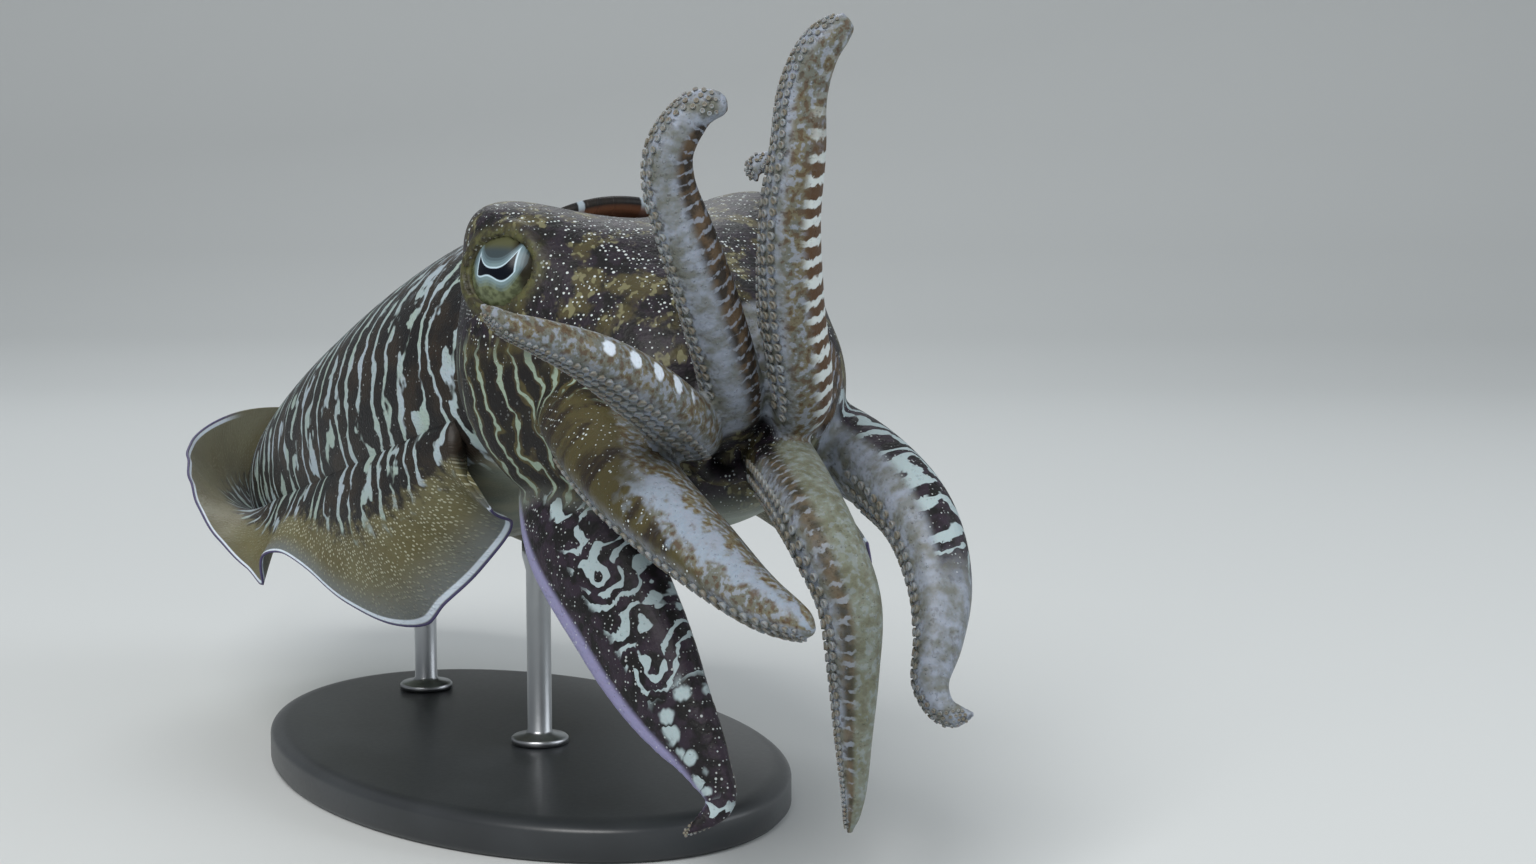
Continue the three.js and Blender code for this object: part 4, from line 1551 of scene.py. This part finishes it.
@dataclass
class Eye:
    """An eye in its lids."""

    side: Side
    radius: float = 12.5
    middle: tuple[float, float, float] = (-3.5, -5.0, 17.0)
    spread: float = 30.0
    outward: float = 62.0
    upward: float = 10.0
    opening: tuple[float, float] = (9.4, 7.9)
    lid_radius: float = 9.8
    lid_thickness: float = 2.4
    lid_lift: float = 0.66
    edge_margin: float = 0.3
    edge_thickness: float = 1.0
    edge_lift: float = 0.69
    ring_count: int = 96
    sunk: float = 1.4
    lid_reach: float = 22.0

    def place(self) -> Array:
        """The ball's centre about the head's centre."""
        return np.array(self.middle) + [self.side.value * self.spread, 0, 0]

    def axes(self) -> tuple[Array, Array, Array]:
        """The eye's directions.

        Returns:
            Its level, upright and outward directions.
        """
        out, up = math.radians(self.outward), math.radians(self.upward)
        look = np.array([self.side.value * math.sin(out) * math.cos(up),
                         -math.cos(out) * math.cos(up), math.sin(up)])
        level = unit(np.cross([0, 0, 1.0], look))
        return level, np.cross(look, level), look

    def torus(self, radius: tuple[float, float], thickness: float, lift: float,
              sides: int) -> Surface:
        """A ring round the eye's axis.

        Args:
            radius: Half width and half height of the ring.
            thickness: Radius of its section.
            lift: Distance of its plane from the ball's centre.
            sides: Sides round its section.

        Returns:
            The closed ring.
        """
        level, upright, look = self.axes()
        a = np.linspace(0, 2 * math.pi, self.ring_count, endpoint=False)[:, None]
        out = np.cos(a) * level + np.sin(a) * upright
        core = np.cos(a) * level * radius[0] + np.sin(a) * upright * radius[1] + look * lift
        ring = hoop(core, out, look, thickness, sides)
        ring.points = ring.points + self.place() + HEAD
        return ring.outward()

    def lids(self) -> Surface:
        """The raised ring that becomes the lids."""
        return self.torus((self.lid_radius, self.lid_radius), self.lid_thickness,
                          self.radius * self.lid_lift, 14)

    def open(self, points: Array) -> tuple[Array, Array]:
        """Sink the skin inside the lids under the eyeball.

        Args:
            points: Points about the head's centre.

        Returns:
            The moved points, and how near each is to the lids' edge.
        """
        level, upright, look = self.axes()
        away = points - self.place()
        x, y, z = away @ level, away @ upright, away @ look
        span = np.hypot(x / self.opening[0], y / self.opening[1])
        inside = (span < 1) & (z > 0)
        floor = np.sqrt(np.maximum(0, self.radius**2 - x**2 - y**2)) - self.sunk
        drop = np.where(inside, np.maximum(0, z - floor), 0)
        moved = points - look * drop[:, None]
        close = np.linalg.norm(away, axis=1) < self.lid_reach
        near = np.exp(-((span - 1.12) / 0.2) ** 2) * (z > 0) * close
        return moved, near

    def ball(self) -> Surface:
        """The eyeball.

        Returns:
            The closed ball, which keeps the place on the eye.
        """
        level, upright, look = self.axes()
        polar = np.linspace(0.0, math.pi, 90)[1:-1, None]
        spin = np.linspace(0, 2 * math.pi, 120, endpoint=False)[None]
        x = self.radius * np.sin(polar) * np.cos(spin)
        y = self.radius * np.sin(polar) * np.sin(spin)
        z = self.radius * np.cos(polar) * np.ones_like(spin)
        local = np.stack([x, y, z], axis=-1)
        points = local @ np.stack([level, upright, look]) + self.place() + HEAD
        return Surface.loft(points, {"eye": local}).outward()

    def build(self, lid_finish: bpy.types.Material) -> None:
        """Make and dress the eyeball and the fine edge of its lids.

        Args:
            lid_finish: The lids' material.
        """
        name = f"eye_{self.side.label}"
        settle(self.ball().mesh(f"ball_{name}"), "eye", EyeFinish().material(), name)
        wide, high = (half + self.edge_margin for half in self.opening)
        edge = self.torus((wide, high), self.edge_thickness, self.radius * self.edge_lift, 12)
        count, place = len(edge.points), edge.points - HEAD
        edge.values = {"place": place, "lid": np.full(count, 1.0), "arm": np.zeros(count),
                       "arm_lay": place}
        settle(edge.mesh(f"lid_{name}"), "body", lid_finish)


@dataclass
class Head:
    """Head, arms, lids and lips as one skin.

    A section gives its centre, half width, height above and below, pitch and yaw.
    """

    crown: Crown
    eyes: tuple[Eye, ...]
    sections: tuple[tuple[float, ...], ...] = (
        (0, 40, -14, 30, 21, 12, 16, 0), (0, 30, -11, 33, 24, 15, 16, 0),
        (-1, 20, -6, 38, 33, 21, 14, 0),
        (-2.5, 9, -5, 42.5, 37, 26, 8, 0), (-4, -3, -5, 44.5, 38, 31, 0, 0),
        (-4.5, -15, -7, 42.5, 37, 34, -8, 4), (-4.5, -27, -9, 37.5, 32, 34, -14, 7),
        (-5, -39, -12, 32, 28, 27, -18, 9),
        (-7, -48, -15, 25, 22, 22, -20, 10), (-9, -53, -18, 16, 15, 16, -20, 10))
    brow: float = 11.0
    brow_lean: float = 1.5
    brow_along: tuple[float, float] = (2.0, 17.0)
    brow_angle: tuple[float, float] = (40.0, 17.0)
    dip: float = 3.0
    dip_spread: float = 18.0
    power: float = 2.25
    voxel: float = 0.9
    lips_radius: float = 6.5
    lips_thickness: float = 2.2
    lips_centre: tuple[float, float, float] = (-9.5, -54, -18.5)
    lips_facing: tuple[float, float, float] = (-0.17, -0.92, -0.34)

    def shell(self) -> Surface:
        """The head's own form, from neck to crown.

        Returns:
            The closed form.
        """
        steps = np.linspace(0, len(self.sections) - 1, 90)
        at = [Profile(tuple((i, float(row[k])) for i, row in enumerate(self.sections)))(steps)
              for k in range(8)]
        angle = np.linspace(0, 2 * math.pi, 120, endpoint=False)
        from_top = np.abs(np.arctan2(np.sin(angle), np.cos(angle)))
        side, up = squircle(angle, self.power)
        middle, reach = self.brow_along
        peak, spread = (math.radians(a) for a in self.brow_angle)
        rings = []
        for x, y, z, width, rise, fall, pitch, yaw in zip(*at):
            near = math.exp(-(((y - middle) / reach) ** 2))
            brow = ((self.brow - self.brow_lean * np.sign(side)) * near
                    * np.exp(-((from_top - peak) / spread) ** 2))
            dip = self.dip * near * np.exp(-((from_top / math.radians(self.dip_spread)) ** 2))
            high = np.where(up > 0, rise, fall)
            bump = 1 + (brow - dip) / high
            flat = np.stack([-width * side * bump, np.zeros_like(side), high * up * bump], axis=1)
            turn = (Matrix.Rotation(math.radians(-yaw), 3, "Z")
                    @ Matrix.Rotation(math.radians(-pitch), 3, "X"))
            rings.append(flat @ np.array(turn).T + [x, y, z])
        return Surface.loft(np.stack(rings) + HEAD).outward()

    def lips(self) -> Surface:
        """The ring of lips in the middle of the crown.

        Returns:
            The closed ring.
        """
        facing = unit(np.array(self.lips_facing))
        side = unit(np.cross(facing, [0, 0, 1.0]))
        other = np.cross(facing, side)
        a = np.linspace(0, 2 * math.pi, 48, endpoint=False)[:, None]
        out = np.cos(a) * side + np.sin(a) * other
        ring = hoop(out * self.lips_radius, out, facing, self.lips_thickness, 12)
        ring.points = ring.points + self.lips_centre + HEAD
        return ring.outward()

    def fused(self) -> bpy.types.Object:
        """Head, arms, lids and lips melted into one smooth mesh.

        Returns:
            The object that holds it.
        """
        parts = [self.shell(), self.lips(), *(eye.lids() for eye in self.eyes),
                 *(arm.surface() for arm in self.crown.arms)]
        skin = Surface.join(parts).mesh("skin_head")
        melt = skin.modifiers.new("melt", "REMESH")
        melt.mode = "VOXEL"
        melt.voxel_size = self.voxel * MM
        ease = skin.modifiers.new("ease", "SMOOTH")
        ease.factor = 0.5
        ease.iterations = 5
        evaluated = skin.evaluated_get(bpy.context.evaluated_depsgraph_get())
        mesh = bpy.data.meshes.new_from_object(evaluated)
        mesh.name = "skin_head"
        skin.modifiers.clear()
        skin.data = mesh
        mesh.polygons.foreach_set("use_smooth", [True] * len(mesh.polygons))
        return skin

    def depth(self, points: Array) -> Array:
        """About how far points lie outside the head's own form.

        Args:
            points: Points about the head's centre.

        Returns:
            Distances in millimetres, negative inside.
        """
        rows = np.array(self.sections, float)
        order = np.argsort(rows[:, 1])
        y = points[:, 1]
        x, z, width, rise, fall = (np.interp(y, rows[order, 1], rows[order, k])
                                   for k in (0, 2, 3, 4, 5))
        up = points[:, 2] - z
        high = np.where(up > 0, rise + 5, fall)
        ratio = np.hypot((points[:, 0] - x) / width, up / high)
        ahead = np.maximum(0, rows[-1, 1] - y)
        return (ratio - 1) * (width + high) / 2 + ahead

    def build(self) -> bpy.types.Material:
        """Make and dress the skin and the eyes.

        Returns:
            The skin's material.
        """
        skin = self.fused()
        mesh = skin.data
        flat = np.empty(len(mesh.vertices) * 3, dtype=np.float32)
        mesh.vertices.foreach_get("co", flat)
        points = flat.reshape(-1, 3).astype(float) / MM - HEAD
        lid = np.zeros(len(points))
        for eye in self.eyes:
            points, near = eye.open(points)
            lid = np.maximum(lid, near)
        mesh.vertices.foreach_set("co", ((points + HEAD) * MM).astype(np.float32).ravel())
        read = self.crown.read(points)
        outside = self.depth(points) - np.maximum(0, read["gap"])
        grown = np.clip((read["share"] - 0.06) / 0.12, 0, 1)
        arm = np.clip((outside + 1.0) / 4.0, 0, 1) * grown
        kept = {name: read[name] for name in ("arm_lay", "keel", *self.crown.patterns)}
        keep_values(mesh, {"place": points, "lid": lid, "arm": arm, **kept})
        mesh.update()
        finish = HeadSkin().material()
        nodes = ["head"] + [f"arm_{arm.name}_{part}" for arm in self.crown.arms
                            for part in ("base", "tip")]
        settle(skin, "body", finish, *nodes)
        for eye in self.eyes:
            eye.build(finish)
        self.crown.build()
        return finish


@dataclass
class Funnel:
    """The funnel under the head."""

    start: tuple[float, float, float] = (0, 16, -25)
    end: tuple[float, float, float] = (0, -19, -41)
    width: float = 11.0
    height: float = 8.5
    outline: tuple[tuple[float, float], ...] = (
        (0, 0.9), (0.3, 1), (0.7, 0.86), (0.97, 0.68), (1.0, 0.62), (0.98, 0.54), (0.8, 0.46),
        (0.6, 0.4))

    def build(self, finish: bpy.types.Material) -> None:
        """Make and dress the funnel.

        Args:
            finish: The head's skin.
        """
        start, end = np.array(self.start, float), np.array(self.end, float)
        axis = unit(end - start)
        lift = unit(np.array([0, 0, 1.0]) - axis * axis[2])
        a = np.linspace(0, 2 * math.pi, 64, endpoint=False)[:, None]
        across = np.array([1.0, 0, 0])
        rings = np.stack([start + (end - start) * t + lift * np.cos(a) * self.height * r
                          - across * np.sin(a) * self.width * r for t, r in self.outline])
        empty = np.zeros(rings.shape[:2])
        values = {"place": rings, "lid": empty, "arm": empty, "arm_lay": rings}
        surface = Surface.loft(rings + HEAD, values).outward()
        settle(surface.mesh("skin_funnel"), "body", finish, "funnel")


@dataclass
class Stand:
    """The oval base and its two rods."""

    length: float = 194.0
    width: float = 122.0
    height: float = 10.0
    rod_radius: float = 3.2
    collar: float = 7.5
    gap: float = 0.3
    edge_radius: float = 2.6
    edge_inset: float = 0.07
    rods: tuple[tuple[str, float, float], ...] = (("front", -12.0, 64.0), ("rear", 66.0, 48.4))

    def turned(self, outline: Sequence[tuple[float, float]], scale: tuple[float, float],
               y: float) -> Surface:
        """A form turned about a vertical axis.

        Args:
            outline: Radius and height pairs from foot to top.
            scale: Half width along X and Y for a radius of one.
            y: Place of the axis along Y.

        Returns:
            The closed form.
        """
        a = np.linspace(0, 2 * math.pi, 128, endpoint=False)
        rings = np.stack([np.stack([np.cos(a) * r * scale[0], np.sin(a) * r * scale[1] + y,
                                    np.full_like(a, z)], axis=1) for r, z in outline])
        return Surface.loft(rings).outward()

    def build(self) -> None:
        """Make and dress base and rods."""
        dark = StandFinish("stand_paint", srgb(38, 41, 44), 0.42, 0.0).material()
        steel = StandFinish("rod_steel", srgb(150, 153, 156), 0.34, 1.0).material()
        h, e = self.height, self.edge_radius
        eased = [(1 - self.edge_inset * (1 - math.cos(t)), h - e + e * math.sin(t))
                 for t in np.linspace(0, math.pi / 2, 9)]
        outline = [(0.972, 0.0), (0.985, 0.3), (1.0, 1.6), *eased, (0.6, h), (0.2, h)]
        base = self.turned(outline, (self.width / 2, self.length / 2), 0.0)
        settle(base.mesh("base_oval"), "stand", dark, "stand_base")
        foot, r, cap = h + self.gap, self.rod_radius, self.rod_radius + 1
        for name, y, top in self.rods:
            shape = [(self.collar, foot), (self.collar, foot + 1.3),
                     (self.collar - 0.5, foot + 1.8), (r + 0.6, foot + 2.4), (r, foot + 3.4),
                     (r, top - 8), (cap, top - 4), (cap, top)]
            rod = self.turned(shape, (1.0, 1.0), y)
            settle(rod.mesh(f"rod_{name}"), "stand", steel, f"stand_rod_{name}")


@dataclass
class Studio:
    """Floor, lights and camera."""

    azimuth: float = -30.5
    elevation: float = 6.0
    lens: float = 55.0
    head_in_view: tuple[float, float, float] = (-28.0, 20.0, 552.0)
    sensor: float = 36.0
    near_clip: float = 0.01
    light_aim: tuple[float, float, float] = (0.0, -0.04, 0.1)
    sky: tuple[float, float, float, float] = (0.82, 0.86, 0.9, 1.0)
    sky_strength: float = 0.38

    def floor(self) -> None:
        """A wide pale floor that curves up behind."""
        y = np.array([-1.6, 1.2, 1.5, 1.72, 1.86, 1.95, 2.0, 2.02, 2.03])
        z = np.array([0.0, 0.0, 0.02, 0.09, 0.2, 0.36, 0.6, 1.0, 2.2])
        turn = math.radians(self.azimuth)
        rows = []
        for side in (-3.0, 3.0):
            rows.append(np.stack([side * math.cos(turn) - y * math.sin(turn),
                                  side * math.sin(turn) + y * math.cos(turn), z], axis=1))
        points = np.stack(rows, axis=1) / MM
        faces = grid_quads(len(y), 2, False)
        made = Surface(points.reshape(-1, 3), faces).mesh("floor")
        made.data.materials.append(FloorPaint().material())

    def light(self, name: str, place: tuple[float, float, float], power: float, size: float,
              colour: Colour) -> None:
        """An area light aimed at the head.

        Args:
            name: Its name.
            place: Where it stands, in metres.
            power: Watts.
            size: Edge in metres.
            colour: Its colour.
        """
        lamp = bpy.data.lights.new(name, "AREA")
        lamp.energy, lamp.size, lamp.color = power, size, colour
        made = bpy.data.objects.new(name, lamp)
        made.location = place
        aim = Vector(self.light_aim) - Vector(place)
        made.rotation_euler = aim.to_track_quat("-Z", "Y").to_euler()
        bpy.context.scene.collection.objects.link(made)

    def camera(self) -> None:
        """The camera at the photograph's angle."""
        a, e = math.radians(self.azimuth), math.radians(self.elevation)
        back = Vector((math.sin(a) * math.cos(e), -math.cos(a) * math.cos(e), math.sin(e)))
        right = Vector((math.cos(a), math.sin(a), 0))
        up = back.cross(right)
        x, y, z = self.head_in_view
        place = (Vector(HEAD) - right * x - up * y + back * z) * MM
        data = bpy.data.cameras.new("camera")
        data.lens, data.sensor_width, data.clip_start = self.lens, self.sensor, self.near_clip
        made = bpy.data.objects.new("camera", data)
        made.matrix_world = Matrix((
            (right.x, up.x, back.x, place.x), (right.y, up.y, back.y, place.y),
            (right.z, up.z, back.z, place.z), (0, 0, 0, 1)))
        bpy.context.scene.collection.objects.link(made)
        bpy.context.scene.camera = made

    def build(self) -> None:
        """Set up the studio."""
        self.floor()
        self.light("key", (-0.9, -0.9, 1.2), 24.0, 0.9, (1.0, 0.99, 0.97))
        self.light("fill", (1.1, -0.8, 0.6), 7.0, 1.0, (0.92, 0.96, 1.0))
        self.light("back", (0.4, 1.1, 1.1), 6.0, 0.8, (0.95, 0.98, 1.0))
        world = bpy.data.worlds.new("studio")
        world.use_nodes = True
        sky = world.node_tree.nodes["Background"].inputs
        sky["Color"].default_value, sky["Strength"].default_value = self.sky, self.sky_strength
        bpy.context.scene.world = world
        bpy.context.scene.view_settings.view_transform = "Standard"
        self.camera()


def main() -> None:
    """Build every part in order."""
    logging.basicConfig(level=logging.INFO, format="%(name)s %(message)s")
    Studio().build()
    Trunk().build()
    head = Head(Crown(ARMS), (Eye(Side.RIGHT), Eye(Side.LEFT)))
    skin = head.build()
    Funnel().build(skin)
    Stand().build()


if __name__ == "__main__":
    main()
